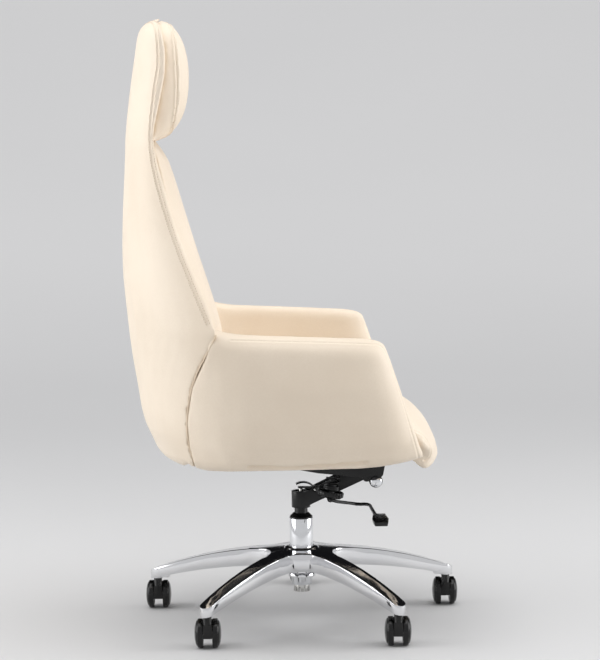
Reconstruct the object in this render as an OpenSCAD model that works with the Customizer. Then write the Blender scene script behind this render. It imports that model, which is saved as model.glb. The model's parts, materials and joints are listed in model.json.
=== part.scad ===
// High-backed swivel office chair: upholstered shell with wrap-round arms, front-pivot tilt
// mechanism with a spring and a tension knob, gas lift, and a five-legged cast base on twin casters.
// Millimetres. +X is the front of the chair, +Y is its left, +Z is up.
// The origin lies on the floor, on the axis of the gas lift.

/* [Overall] */
// Height of the top of the back above the floor, seat at its lowest
overall_h = 1282; // [1240:1:1330]
// Height of the underside of the seat pan above the floor
pan_z = 364; // [360:1:368]
// Widest outside width over the arms
overall_w = 690; // [640:2:740]

/* [Back shell] */
// Distance from the lift axis to the rearmost point of the back
rear_x = 370; // [350:1:400]
// Thickness of the padded outer shell
shell_t = 26; // [20:1:34]
// Exponent of the plan curve of the shell, higher is squarer
plan_n = 2.4; // [2.1:0.1:3]
// Thickness of the moulded board inside the back
board_t = 10; // [8:1:12]
// Gap between the layers of the back
layer_gap = 1.6; // [1.5:0.1:2]
// Gap between neighbouring upholstered pieces
soft_gap = 0.3; // [0.2:0.1:0.6]

/* [Arms] */
// Height of the arm crest at its rear end
arm_top_z = 652; // [620:1:680]
// Fall of the arm crest from rear to front
arm_fall = 15; // [0:1:30]
// Thickness of the arm panel at its crest
arm_t = 54; // [44:1:64]
// Distance from the lift axis to the front edge of the arm at its top
arm_front_x = 164; // [140:1:185]
// Lean of the front edge of the arm, forward per unit of height going down
arm_rake = 0.29; // [0.15:0.01:0.4]
// Thickness of the plywood frame inside an arm
arm_frame_t = 15; // [12:1:18]

/* [Cushions] */
// Height of the top of the seat cushion at its crown
seat_top_z = 492; // [475:1:515]
// Distance from the lift axis to the middle of the seat nose
nose_x = 293; // [275:1:310]
// How much further forward the nose is at its middle than at its ends
nose_crown = 24; // [0:1:40]
// Height of the headrest pillow
headrest_h = 250; // [220:2:262]
// Distance from the lift axis to the front of the headrest pillow
headrest_x = 223; // [215:1:240]

/* [Seat pan and bracket] */
// Thickness of the plywood seat pan
pan_t = 10; // [9:1:12]
// Thickness of the pressed steel of the mechanism
plate_t = 4; // [3:0.5:5]
// Outside width of the upper bracket over its flanges
bracket_w = 168; // [160:2:180]
// Distance from the lift axis to the tilt pivot
pivot_x = 155; // [145:1:165]
// Height of the tilt pivot above the floor
pivot_z = 309; // [306:1:312]
// Diameter of the pivot axle
axle_d = 12; // [10:0.5:14]
// Spacing of the pan bolts along the chair
bolt_dx = 130; // [110:2:140]
// Spacing of the pan bolts across the chair
bolt_dy = 120; // [100:2:130]
// Diameter of the pan bolts
bolt_d = 6; // [5:0.5:8]

/* [Lower arm] */
// Outside diameter of the socket that takes the gas cylinder
socket_d = 40; // [38:1:46]
// Height of the underside of the socket above the floor
socket_z = 243; // [240:1:246]
// Height of the socket
socket_h = 35; // [30:1:36]
// Depth of the arm beam, measured upright
beam_h = 32; // [28:1:34]
// Slope of the arm beam
beam_slope = 0.478; // [0.46:0.002:0.49]
// Wall thickness of the arm beam
beam_wall = 3.5; // [3:0.5:5]
// Outside diameter of the cross tube at the pivot
cross_d = 28; // [26:1:30]

/* [Tension knob and spring] */
// Lean of the spring axis towards the front
spring_lean = 11; // [6:1:12]
// Distance of the spring axis from the middle of the chair, to the right
spring_y = 52; // [51:1:54]
// Outside diameter of the spring
spring_d = 30; // [26:1:32]
// Diameter of the spring wire
wire_d = 4; // [3:0.2:5]
// Number of coils of the spring
coils = 6; // [4:1:7]
// Diameter of the tension knob
knob_d = 58; // [50:1:60]
// Thickness of the tension knob
knob_t = 13; // [11:1:14]
// Number of grip ribs round the knob
knob_ribs = 24; // [16:2:32]
// Diameter of the tension screw
screw_d = 10; // [8:1:12]

/* [Height lever] */
// Diameter of the lever rod
rod_d = 7; // [6:0.5:8]
// Length of the lever paddle
paddle_l = 62; // [50:1:80]
// Width of the lever paddle
paddle_w = 32; // [26:1:38]
// Thickness of the lever paddle
paddle_t = 11; // [9:1:14]

/* [Gas lift] */
// Diameter of the outer tube
tube_d = 50; // [48:1:52]
// Height of the top of the outer tube
tube_top_z = 220; // [210:1:222]
// Diameter of the gas cylinder
gas_d = 28; // [27:0.5:30]
// Diameter of the piston rod
piston_d = 10; // [8:1:12]
// Stroke of the gas lift
lift_stroke = 80; // [60:5:85]

/* [Base] */
// Radius of the circle through the caster stems
stem_circle_r = 331; // [310:1:350]
// Direction of the first leg, turned from the front of the chair
leg_turn = 87.5; // [0:0.5:359.5]
// Number of legs
leg_count = 5; // [5:1:5]
// Height of the crown of the legs at the hub
star_top_z = 156; // [150:1:162]
// Height of the top of a leg over its stem
tip_top_z = 94; // [92:1:100]
// Height of the underside of the base at the stems
tip_low_z = 71; // [70:1:73]
// Radius of the rounded leg tip
tip_r = 15; // [14:0.5:17]
// Half width of a leg at the hub
root_half_w = 23; // [20:0.5:26]
// Wall thickness of the casting
cast_t = 4; // [3:0.5:5]

/* [Casters] */
// Diameter of a caster wheel
wheel_d = 60; // [58:1:62]
// Overall width of a twin caster
caster_w = 55; // [50:1:60]
// Width of the hood between the two wheels
hood_w = 18.6; // [16:0.2:21]
// Trail of a caster, from its stem to its axle
trail = 20; // [16:1:22]
// Diameter of the caster stem
stem_d = 11; // [10:0.5:11]
// Diameter of the caster axle
caster_axle_d = 6; // [5:0.5:8]

/* [Hidden] */
$fn = 48;
fit = 0.04;
press = 0.02;
gap = 0.3;
step = 0.01;

// Ends of the upper bracket along the chair
bracket_rear_x = -14;
bracket_front_x = 178;
flange_y = bracket_w / 2 - plate_t / 2;
axle_out = bracket_w / 2;
bush_d = axle_d + 6;
pin_d = 5;
bolt_x = bracket_rear_x + 26 + bolt_dx / 2;
// Middle of the underside of the tension knob
knob_x = 58;
knob_z = 273;
// Places along the spring axis, from the underside of the knob
lug_s = knob_t + 2;
nut_s = lug_s + 5 + gap;
spring_s0 = nut_s + 4 + gap;
cup_s = (pan_z - plate_t - knob_z) / cos(spring_lean) - 9;

// ---------- curves shared by the pieces ----------

// Slope at point i of a list of [place, value] points
function slope(p, i) =
    let (a = max(i - 1, 0), b = min(i + 1, len(p) - 1))
    (p[b][1] - p[a][1]) / (p[b][0] - p[a][0]);
// Index of the stretch of p that holds t
function stretch(p, t, i = 0) = (i >= len(p) - 2 || t < p[i + 1][0]) ? i : stretch(p, t, i + 1);
// Smooth curve through a list of [place, value] points
function smooth(p, t) =
    let (c = min(max(t, p[0][0]), p[len(p) - 1][0]))
    let (i = stretch(p, c), h = p[i + 1][0] - p[i][0], u = (c - p[i][0]) / h)
    (2 * u * u * u - 3 * u * u + 1) * p[i][1] + (u * u * u - 2 * u * u + u) * h * slope(p, i)
    + (3 * u * u - 2 * u * u * u) * p[i + 1][1] + (u * u * u - u * u) * h * slope(p, i + 1);
function power(v, n) = v <= 0 ? 0 : pow(v, n);
// Even numbers from a to b in n steps
function spread(a, b, n) = [for (i = [0 : n]) a + (b - a) * i / n];
// Faces that join rings of m points each
function side_faces(rings, m) = concat(
    [for (j = [0 : rings - 2], i = [0 : m - 1]) [j * m + i, j * m + (i + 1) % m, (j + 1) * m + i]],
    [for (j = [0 : rings - 2], i = [0 : m - 1])
        [j * m + (i + 1) % m, (j + 1) * m + (i + 1) % m, (j + 1) * m + i]]);
// Faces that close ring j of m points, as strips between its two long sides; up turns them over
function strip_cap(j, m, up) = [for (i = [0 : m / 2 - 2])
    for (f = [[i, m - 1 - i, i + 1], [i + 1, m - 1 - i, m - 2 - i]])
        [for (k = up ? [0, 2, 1] : [0, 1, 2]) j * m + f[k]]];
function turned(faces, flip) = flip ? [for (f = faces) [for (i = [len(f) - 1 : -1 : 0]) f[i]]] : faces;
// Closed skin over rings of points with flat ends; flip turns it right side out
module loft(rings, flip = false) {
    n = len(rings);
    m = len(rings[0]);
    faces = concat(side_faces(n, m), [[for (i = [m - 1 : -1 : 0]) i]],
        [[for (i = [0 : m - 1]) (n - 1) * m + i]]);
    polyhedron([for (r = rings, p = r) p], turned(faces, flip), convexity = 8);
}
// The same for rings that are two facing rows of points, whose ends need not be flat
module panel_loft(rings, flip = false) {
    n = len(rings);
    m = len(rings[0]);
    faces = concat(side_faces(n, m), strip_cap(0, m, false), strip_cap(n - 1, m, true));
    polyhedron([for (r = rings, p = r) p], turned(faces, flip), convexity = 8);
}
// Middle of a ring of points
function total(v, i = 0) = i >= len(v) ? [0, 0, 0] : v[i] + total(v, i + 1);
function middle(v) = total(v) / len(v);
// The same with each end drawn to the middle of its ring
module round_loft(rings, flip = false) {
    n = len(rings);
    m = len(rings[0]);
    faces = concat(side_faces(n, m), [for (i = [0 : m - 1]) [(i + 1) % m, i, n * m]],
        [for (i = [0 : m - 1]) [(n - 1) * m + i, (n - 1) * m + (i + 1) % m, n * m + 1]]);
    polyhedron(concat([for (r = rings, p = r) p], [middle(rings[0]), middle(rings[n - 1])]),
        turned(faces, flip), convexity = 8);
}

// ---------- the outside form of the upholstered body ----------

half_w = overall_w / 2;
neck_z = overall_h - 247;
// Underside of everything that stands on the seat pan
seat_low = pan_z + pan_t + soft_gap;
// Rear line of the back: height, distance behind the lift axis
rear_line = [[seat_low, rear_x - 92], [seat_low + 7, rear_x - 76], [seat_low + 18, rear_x - 64],
    [seat_low + 41, rear_x - 53], [450, rear_x - 38], [518, rear_x - 27], [587, rear_x - 16],
    [651, rear_x - 9], [757, rear_x], [821, rear_x], [894, rear_x - 3], [989, rear_x - 9],
    [1039, rear_x - 11], [1110, rear_x - 19], [1166, rear_x - 27], [overall_h - 73, rear_x - 34],
    [overall_h - 40, rear_x - 39], [overall_h - 23, rear_x - 45], [overall_h - 10, rear_x - 58],
    [overall_h, rear_x - 84]];
// Half width of the body: height, half width
width_line = [[seat_low, half_w - 58], [seat_low + 6, half_w - 38], [seat_low + 17, half_w - 23],
    [seat_low + 46, half_w - 10], [480, half_w - 3], [560, half_w], [arm_top_z - 12, half_w - 9],
    [740, half_w - 60], [836, half_w - 105], [935, half_w - 140], [neck_z, half_w - 166],
    [1115, half_w - 178], [1200, half_w - 186], [overall_h - 24, half_w - 198], [overall_h, half_w - 232]];
// Front edge of the back shell, which is the arm seam below the arm crest: height, place
edge_line = [[seat_low, -224], [444, -241], [527, -234], [591, -213], [arm_top_z, -180], [740, -210],
    [836, -248], [935, -277], [neck_z, -299], [1115, -284], [1190, -271], [overall_h - 24, -279],
    [overall_h, -288]];
// Where the plan curve is widest: height, place
centre_line = [[seat_low, -60], [600, -60], [720, -150], [836, -215], [935, -250], [neck_z, -270],
    [1115, -255], [1190, -243], [overall_h, -258]];

function rear_at(z) = -smooth(rear_line, z);
function width_at(z) = smooth(width_line, z);
function edge_at(z) = smooth(edge_line, z);
function centre_at(z) = smooth(centre_line, z);
// Half width of the body at x, in from the outside by t
function side_y(x, z, t = 0) =
    let (c = centre_at(z), a = c - rear_at(z) - t, u = max(c - x, 0) / a)
    (width_at(z) - t) * power(1 - power(min(u, 1), plan_n), 1 / plan_n);
// Point of the plan curve at share s round the back, from the right edge (-1) to the left (1), at depth t
function plan_point(z, s, t) =
    let (c = centre_at(z), a = c - rear_at(z) - t, w = width_at(z) - t)
    let (top = acos(power(min(max(c - edge_at(z), 0) / a, 0.97), plan_n / 2)), f = abs(s) * top)
    [c - a * power(cos(f), 2 / plan_n), (s < 0 ? -1 : 1) * w * power(sin(f), 2 / plan_n), z];

// Shares of the way round the plan curve that every piece of the back keeps to
half_shares = [0.09, 0.2, 0.32, 0.45, 0.57, 0.68, 0.78, 0.87, 0.94, 1];
last_share = len(half_shares) - 1;
// The same from the right to the left, without the outer few at each end
function shares(skip) = concat([for (i = [last_share - skip : -1 : 0]) -half_shares[i]], [0],
    [for (i = [0 : last_share - skip]) half_shares[i]]);
function backward(v) = [for (i = [len(v) - 1 : -1 : 0]) v[i]];

// Ring of a curved panel between two depths under the outside form
function panel_ring(z, t0, t1, skip) = concat(
    [for (s = shares(skip)) plan_point(z, s, t0)],
    [for (s = backward(shares(skip))) plan_point(z, s, t1)]);

headrest_z0 = overall_h - 4 - headrest_h;
cushion_top = headrest_z0 - soft_gap;
board_top = overall_h - 76;
arm_shoulder = arm_top_z - 34;
// Heights that every piece of the back keeps to
back_levels = [seat_low, seat_low + 8, seat_low + 18, seat_low + 46, 440, 470, 490, 512, 545, 580,
    arm_shoulder, arm_top_z, 700, 750, 800, 850, 900, 950, 990, cushion_top - 9, cushion_top, headrest_z0,
    headrest_z0 + 12, headrest_z0 + 32, headrest_z0 + 59, headrest_z0 + 95, headrest_z0 + 136, board_top,
    overall_h - 44, overall_h - 28, overall_h - 18, overall_h - 9, overall_h - 4, overall_h];
function levels(low, high) = [for (z = back_levels) if (z >= low && z <= high) z];
// The shell thins towards its closed top edge
function shell_depth(z) = min(shell_t, 7 + 1.15 * (overall_h - z));
edge_table = [for (z = back_levels) [z, edge_at(z)]];

module back_shell() {
    color("#EBDCC2")
    panel_loft([for (z = back_levels) panel_ring(z, 0, shell_depth(z), 0)]);
}

module back_board() {
    t = shell_t + layer_gap;
    color("#B08A5A")
    panel_loft([for (z = levels(seat_low, board_top)) panel_ring(z, t, t + board_t, 2)]);
}

// ---------- arms ----------

function crest_at(x) = arm_top_z - arm_fall * (x + 153) / (arm_front_x + 136);
function arm_edge_at(z) = arm_front_x + arm_rake * (arm_top_z - 20 - z);
// Outline of the arm across its thickness: height, depth from the outside
arm_levels = [seat_low, seat_low + 8, seat_low + 18, seat_low + 46, 470, 545, arm_shoulder];
// How much deeper than the arm its inside is near the seat pan
arm_foot = [[seat_low, 12], [seat_low + 8, 2], [seat_low + 46, 0]];
arm_outline = concat([for (z = arm_levels) [z, 0]],
    [for (a = [180 : -36 : 0])
        [arm_top_z - arm_t * 0.45 + arm_t * 0.45 * sin(a), arm_t * (0.5 - 0.5 * cos(180 - a))]],
    [for (z = backward(arm_levels)) [z, arm_t + lookup(z, arm_foot)]]);
// Share of the thickness left at share s along the arm, rounding off the front edge
function arm_nose(s) = s < 0.86 ? 1 : sqrt(max(1 - pow((s - 0.86) / 0.14, 2), 0.02));
arm_shares = [0, 0.06, 0.14, 0.25, 0.4, 0.55, 0.7, 0.8, 0.88, 0.93, 0.965, 0.988, 1];
// The outside of the arm draws in a little towards the front
arm_taper = 26;
function taper_at(x) = arm_taper * pow(max(x + 60, 0) / 300, 2);
// Rise of the hem at the front end of the arm
hem_rise = 15;
function arm_point(o, s, side) =
    let (z0 = o[0], x0 = lookup(z0, edge_table) + soft_gap, x = x0 + s * (arm_edge_at(z0) - x0))
    let (drop = max(0, arm_top_z - crest_at(x)) * min(1, max(0, (z0 - 450) / 150)))
    let (hem = hem_rise * pow(max(0, s - 0.55) / 0.45, 2) * max(0, 1 - (z0 - seat_low) / 90))
    let (full = side_y(x, min(z0, arm_top_z - 12)) - taper_at(x), mid = arm_t / 2)
    let (thin = arm_nose(s), in = mid + (o[1] - mid) * thin)
    let (round_top = (1 - thin) * 12 * max(0, (z0 - arm_top_z + 60) / 60))
    [x, side * (full - in), z0 - drop + hem - round_top];
module arm_body(side) {
    panel_loft([for (s = arm_shares) [for (o = arm_outline) arm_point(o, s, side)]], side > 0);
}
frame_y = half_w - 42;
frame_x0 = -120;
frame_x1 = 120;
frame_top = arm_top_z - 70;
frame_low = seat_low + 24;
// The plywood frame, or with grow the pocket for it, which is open below by cut
module arm_frame(side, grow = 0, cut = 0) {
    translate([0, side * frame_y, 0])
    rotate([90, 0, 0])
    linear_extrude(arm_frame_t + 2 * grow, center = true)
    polygon([[frame_x0 - grow, frame_low - cut], [frame_x1 + grow, frame_low - cut],
        [frame_x1 + grow, frame_top - 30], [frame_x1 - 30, frame_top + grow],
        [frame_x0 + 30, frame_top + grow], [frame_x0 - grow, frame_top - 30]]);
}
module arm_right() {
    color("#E8D8BC")
    difference() {
        arm_body(-1);
        arm_frame(-1, soft_gap, 60);
    }
}
module arm_left() {
    color("#E8D8BC")
    difference() {
        arm_body(1);
        arm_frame(1, soft_gap, 60);
    }
}
module arm_frame_right() {
    color("#B08A5A")
    arm_frame(-1);
}
module arm_frame_left() {
    color("#B08A5A")
    arm_frame(1);
}

// ---------- back cushion and headrest ----------

seat_rear_x = -190;
// Front line of the back cushion on the middle of the chair: height, place
cushion_line = [[seat_low, seat_rear_x - 8], [440, seat_rear_x - 7], [484, seat_rear_x - 4],
    [512, -171], [550, -159], [616, -161], [690, -181], [800, -215], [903, -245], [977, -267],
    [cushion_top - 10, -286], [cushion_top, -296]];
// Front line of the headrest pillow on the middle of the chair: height, place
pillow_line = [[headrest_z0, -headrest_x - 66], [headrest_z0 + 12, -headrest_x - 43],
    [headrest_z0 + 32, -headrest_x - 22], [headrest_z0 + 59, -headrest_x - 9],
    [headrest_z0 + 95, -headrest_x - 2], [headrest_z0 + 136, -headrest_x],
    [headrest_z0 + 178, -headrest_x - 2], [headrest_z0 + headrest_h - 40, -headrest_x - 12],
    [headrest_z0 + headrest_h - 14, -headrest_x - 28], [headrest_z0 + headrest_h, -headrest_x - 50]];
// Clearance of a pad to the faceted inside of an arm
pad_clear = 3;
// Height of the arm's hem above its rear end at x
function lift_at(x) = hem_rise * pow(max(0, (x - arm_front_x + 176) / 251), 2);
// Half width free between the arms at x and z, from the inside of the back shell forward
function free_half(x, z) =
    let (low = max(seat_low, min(z, arm_top_z - 12) - lift_at(x)))
    side_y(x, low) - taper_at(x) - arm_t - lookup(low, arm_foot) - pad_clear;
// Ring of a pad that lies in the curved back and stands out to the place front in its middle.
// It wraps round the sides of the board, down to the shell.
function pad_ring(z, front) =
    let (all = shares(1), n = len(all), open = z > board_top, beside = z < arm_top_z + 5)
    let (t = open ? shell_depth(z) + layer_gap : shell_t + board_t + 2 * layer_gap)
    let (back = [for (i = [0 : n - 1])
        plan_point(z, all[i], i == 0 || i == n - 1 ? min(t, shell_t + layer_gap) : t)])
    let (w = back[n - 1][1], x0 = back[0][0], bulge = max(front - x0, 2), edge = edge_at(z) - 3)
    let (x1 = beside ? edge : x0 + 1, w1 = beside ? min(w - 1, free_half(x1, z)) : w - 0.5)
    concat(back, [[x1, w1, z]],
        [for (u = [0.95, 0.85, 0.7, 0.5, 0.25, 0, -0.25, -0.5, -0.7, -0.85, -0.95])
            let (x = max(x1 + 1, x0 + bulge * power(1 - power(abs(u), 5), 0.4)))
            [x, (u < 0 ? -1 : 1) * min(abs(u) * w, beside ? free_half(x, z) : w), z]],
        [[x1, -w1, z]]);
module back_cushion() {
    color("#F1E4CC")
    loft([for (z = levels(seat_low, cushion_top)) pad_ring(z, smooth(cushion_line, z))]);
}
module headrest() {
    color("#F1E4CC")
    loft([for (z = levels(headrest_z0, overall_h - 4)) pad_ring(z, smooth(pillow_line, z))]);
}

// ---------- seat cushion and pan ----------

function nose_at(y) = nose_x - nose_crown * pow(y / 250, 2);
// Half width of the seat cushion at x and z, just inside the arms
function seat_half_at(x, z) = min(free_half(x, min(z, 470)), x > 190 ? 268 - 0.1 * (x - 190) : 300);
// Side profile of the seat cushion at y: place, height
function seat_profile(y) =
    let (n = nose_at(y), drop = 16 * (1 - power(1 - power(abs(y) / 300, 4), 0.5)), top = seat_top_z - drop)
    [[seat_rear_x, seat_low], [seat_rear_x - 4, seat_low + 30], [seat_rear_x, top - 42],
     [seat_rear_x + 12, top - 26], [-120, top - 12], [-40, top - 4], [40, top], [110, top - 1],
     [170, top - 7], [n - 70, top - 16], [n - 44, top - 32], [n - 22, top - 56 + drop * 0.4],
     [n - 6, seat_top_z - 86], [n, seat_top_z - 112], [n - 3, nose_low_z + 14], [n - 11, nose_low_z + 2],
     [n - 22, nose_low_z], [n - 32, nose_low_z + 6], [n - 38, seat_low]];
nose_low_z = pan_z - 5;
seat_stations = [-1, -0.985, -0.94, -0.85, -0.68, -0.48, -0.24, 0, 0.24, 0.48, 0.68, 0.85, 0.94, 0.985, 1];
// The cushion narrows with the body towards its rear, and its ends round over
function seat_ring(v) =
    let (e = power(1 - power(abs(v), 10), 0.35), mid = (seat_low + seat_top_z) / 2)
    [for (q = seat_profile(v * 283))
        let (z = mid + (q[1] - mid) * (0.84 + 0.16 * e), low = q[0] < 226 ? seat_low : nose_low_z)
        let (x = q[0] + (q[0] > 200 ? -10 : q[0] < -180 ? 10 : 0) * (1 - e))
        [x, v * seat_half_at(x, max(z, low)), max(z, low)]];
module seat_cushion() {
    color("#F1E4CC")
    round_loft([for (v = seat_stations) seat_ring(v)], true);
}

pan_rear_x = -248;
pan_front_x = 206;
function pan_half(x) = min(side_y(x, seat_low) - 32, half_w - 115);
module seat_pan() {
    xs = spread(pan_rear_x, -60, 8);
    color("#2A2A2C")
    difference() {
        translate([0, 0, pan_z])
        linear_extrude(pan_t)
        polygon(concat([for (x = xs) [x, -pan_half(x)]],
            [[pan_front_x - 60, -pan_half(-60)], [pan_front_x, -pan_half(-60) + 60],
             [pan_front_x, pan_half(-60) - 60], [pan_front_x - 60, pan_half(-60)]],
            [for (i = [8 : -1 : 0]) [xs[i], pan_half(xs[i])]]));
        pan_bolt_places() cylinder(d = bolt_d + 2 * fit, h = 60, center = true);
    }
}
module pan_bolt_places() {
    for (sx = [-1, 1], sy = [-1, 1])
        translate([bolt_x + sx * bolt_dx / 2, sy * bolt_dy / 2, pan_z])
        children();
}
module pan_bolts() {
    color("#1C1C1E")
    pan_bolt_places() {
        cylinder(d = bolt_d, h = 2 * (pan_t - 1), center = true);
        translate([0, 0, -plate_t - 1.5 - 4])
            cylinder(d = bolt_d * 1.8, h = 4, $fn = 6);
        translate([0, 0, -plate_t - 1.5])
            cylinder(d = bolt_d * 2.3, h = 1.5);
    }
}

// ---------- upper bracket and tilt pivot ----------

module flange(side) {
    translate([0, side * flange_y, 0])
    rotate([90, 0, 0])
    linear_extrude(plate_t, center = true)
    difference() {
        union() {
            polygon([[bracket_rear_x, pan_z], [bracket_rear_x, pivot_z + 29],
                [bracket_rear_x + 47, pivot_z + 20],
                [pivot_x - 33, pivot_z + 10], [pivot_x + 9, pivot_z + 6], [bracket_front_x - 8, pivot_z + 14],
                [bracket_front_x, pan_z]]);
            translate([pivot_x, pivot_z])
                circle(d = axle_d + 12);
            translate([pivot_x - 20, pivot_z + 9])
                circle(r = 9);
        }
        translate([bracket_front_x + 1, pivot_z + 11])
            circle(r = 9);
    }
}
module upper_bracket() {
    color("#19191B")
    difference() {
        union() {
            translate([bracket_rear_x, -bracket_w / 2, pan_z - plate_t])
                cube([bracket_front_x - bracket_rear_x, bracket_w, plate_t]);
            difference() {
                union() {
                    flange(-1);
                    flange(1);
                }
                translate([-500, -500, pan_z - plate_t / 2])
                    cube([1000, 1000, 50]);
            }
            spring_axis()
                translate([0, 0, cup_s])
                cylinder(d = spring_d - 2 * wire_d - 1, h = 9);
        }
        translate([pivot_x, 0, pivot_z])
            rotate([90, 0, 0])
            cylinder(d = axle_d + 2 * press, h = 300, center = true);
        pan_bolt_places()
            cylinder(d = bolt_d + 2 * fit, h = 60, center = true);
        translate([-500, -500, pan_z])
            cube([1000, 1000, 100]);
    }
}
module pivot_axle() {
    color("#D8D8DA")
    translate([pivot_x, 0, pivot_z])
    rotate([90, 0, 0])
    union() {
        translate([0, 0, -axle_out - 9])
            cylinder(d = axle_d, h = 2 * axle_out + 9 + 4);
        translate([0, 0, axle_out])
            rotate_extrude()
            intersection() {
                translate([0, -11.5])
                    circle(r = 19);
                square([12, 8]);
            }
    }
}
module axle_nut() {
    color("#D8D8DA")
    translate([pivot_x, axle_out, pivot_z])
    rotate([-90, 0, 0])
    difference() {
        cylinder(d = 21, h = 7, $fn = 6);
        cylinder(d = axle_d + 2 * fit, h = 40, center = true);
    }
}

// ---------- lower arm ----------

function beam_low(x) = socket_z + 7 + beam_slope * (x - 18);
beam_end_x = 128;
// Frame of the spring axis, starting under the middle of the knob
module spring_axis() {
    translate([knob_x, -spring_y, knob_z])
    rotate([0, spring_lean, 0])
        children();
}
module beam_side(side) {
    translate([0, side * (socket_d / 2 - beam_wall / 2), 0])
    rotate([90, 0, 0])
    linear_extrude(beam_wall, center = true)
    polygon([[0, socket_z + 2], [14, beam_low(14)], [beam_end_x, beam_low(beam_end_x)],
        [pivot_x, pivot_z - cross_d / 2 + 1], [pivot_x, pivot_z + cross_d / 2 - 1],
        [beam_end_x + 4, beam_low(beam_end_x) + beam_h - 6],
        [beam_end_x - 14, beam_low(beam_end_x - 14) + beam_h], [26, beam_low(26) + beam_h],
        [8, socket_z + socket_h], [0, socket_z + socket_h]]);
}
lever_x = 62;
lever_z = beam_low(lever_x) - 9.5;
pin_x = 29;
pin_z = beam_low(pin_x) + beam_h - 4;
module tilt_arm() {
    low0 = beam_low(20);
    color("#1B1B1D")
    difference() {
        union() {
            translate([0, 0, socket_z])
                cylinder(d = socket_d, h = socket_h);
            beam_side(-1);
            beam_side(1);
            rotate([90, 0, 0])
                linear_extrude(socket_d - 2, center = true)
                polygon([[12, beam_low(12)], [pivot_x - 4, beam_low(pivot_x - 4) - 4],
                    [pivot_x - 4, beam_low(pivot_x - 4)], [12, beam_low(12) + beam_wall]]);
            translate([pivot_x, 0, pivot_z])
                rotate([90, 0, 0])
                cylinder(d = cross_d, h = bracket_w - 2 * plate_t - 2 * 1.8, center = true);
            // lug that carries the spring and the tension screw
            spring_axis()
                translate([0, 0, lug_s])
                cylinder(d = spring_d + 2, h = 5);
            spring_axis()
                translate([-12, 0, lug_s])
                cube([24, spring_y - socket_d / 2 + 1, 5]);
            // saddle that carries the lever rod under the beam
            translate([lever_x, 0, lever_z])
                rotate([90, 0, 0])
                cylinder(d = rod_d + 7, h = socket_d, center = true);
            translate([lever_x - rod_d / 2 - 3.5, -socket_d / 2, lever_z])
                cube([rod_d + 7, socket_d, 12]);
        }
        translate([0, 0, socket_z - 1])
            cylinder(d = gas_d + 2 * press, h = socket_h + 60);
        translate([pivot_x, 0, pivot_z])
            rotate([90, 0, 0])
            cylinder(d = bush_d + 2 * press, h = 300, center = true);
        spring_axis()
            cylinder(d = screw_d + 2 * fit, h = 60);
        translate([lever_x, 0, lever_z])
            rotate([90, 0, 0])
            cylinder(d = rod_d + 2 * fit, h = 200, center = true);
        // slot for the crank
        translate([lever_x - 10, -4, lever_z - 20])
            cube([50, 8, 80]);
        translate([pin_x, 0, pin_z])
            rotate([90, 0, 0])
            cylinder(d = pin_d + 2 * press, h = 100, center = true);
    }
}
module pivot_bushes() {
    tube_end = bracket_w / 2 - plate_t - 1.8;
    color("#CFCBBE")
    for (side = [-1, 1])
        translate([pivot_x, 0, pivot_z])
        rotate([side * 90, 0, 0])
        difference() {
            union() {
                translate([0, 0, tube_end - 25])
                    cylinder(d = bush_d, h = 25);
                translate([0, 0, tube_end])
                    cylinder(d = bush_d + 6, h = 1.5);
            }
            cylinder(d = axle_d + 2 * fit, h = 200);
        }
}

// ---------- tension knob, screw and spring ----------

module tension_knob() {
    color("#2B2B2D")
    spring_axis()
    difference() {
        union() {
            cylinder(d1 = knob_d - 9, d2 = knob_d - 2, h = 3.5);
            translate([0, 0, 3.5])
                cylinder(d = knob_d - 2, h = knob_t - 3.5);
            for (i = [0 : knob_ribs - 1])
                rotate([0, 0, i * 360 / knob_ribs])
                translate([knob_d / 2 - 3, -2, 3.5])
                cube([3, 4, knob_t - 4.5]);
        }
        translate([0, 0, knob_t - 3])
            difference() {
                cylinder(d = knob_d - 9, h = 10);
                translate([0, 0, -1])
                    cylinder(d = screw_d + 10, h = 12);
            }
        cylinder(d = screw_d + 2 * press, h = 60, center = true);
    }
}
module tension_screw() {
    color("#9A9A9C")
    spring_axis()
        translate([0, 0, 2])
        cylinder(d = screw_d, h = nut_s + 20);
}
module spring_seat() {
    color("#8E8E90")
    spring_axis()
    difference() {
        union() {
            translate([0, 0, nut_s])
                cylinder(d = spring_d + 1, h = 4);
            translate([0, 0, nut_s])
                cylinder(d = spring_d - 2 * wire_d - 1, h = 8);
        }
        cylinder(d = screw_d + 2 * fit, h = 200);
    }
}
spring_len = cup_s + 9 - spring_s0 - spring_d / 2 * tan(spring_lean) - gap * 2.6;
function coil_point(a, r, b) =
    let (turn = 360 * coils, u = a / turn, flat = wire_d / 2, rise = spring_len - wire_d)
    let (z = flat + rise * (u < 0.08 ? u * u / 0.147 : u > 0.92 ? 1 - (1 - u) * (1 - u) / 0.147
        : 0.0435 + (u - 0.08) * 1.0869))
    [(r + wire_d / 2 * cos(b)) * cos(a), (r + wire_d / 2 * cos(b)) * sin(a), z + wire_d / 2 * sin(b)];
module tension_spring() {
    color("#3A3A3C")
    spring_axis()
        translate([0, 0, spring_s0])
        loft([for (a = [0 : 24 : 360 * coils])
            [for (b = [0 : 60 : 300]) coil_point(a, (spring_d - wire_d) / 2, b)]]);
}

// ---------- valve release and height lever ----------

button_top_z = socket_z + socket_h + 6;
module valve_button() {
    color("#B9BABC")
    union() {
        translate([0, 0, button_top_z - 22])
            cylinder(d = 8, h = 20);
        translate([0, 0, button_top_z - 2])
            cylinder(d1 = 8, d2 = 6.5, h = 2);
    }
}
module release_pin() {
    color("#A9A9AB")
    translate([pin_x, 0, pin_z])
        rotate([90, 0, 0])
        cylinder(d = pin_d, h = socket_d + 4, center = true);
}
// Place and height of the middle of the crank tip, under the tail of the tongue
crank_x = lever_x + 40;
crank_z = lever_z + 38;
crank_r = 3;
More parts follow.
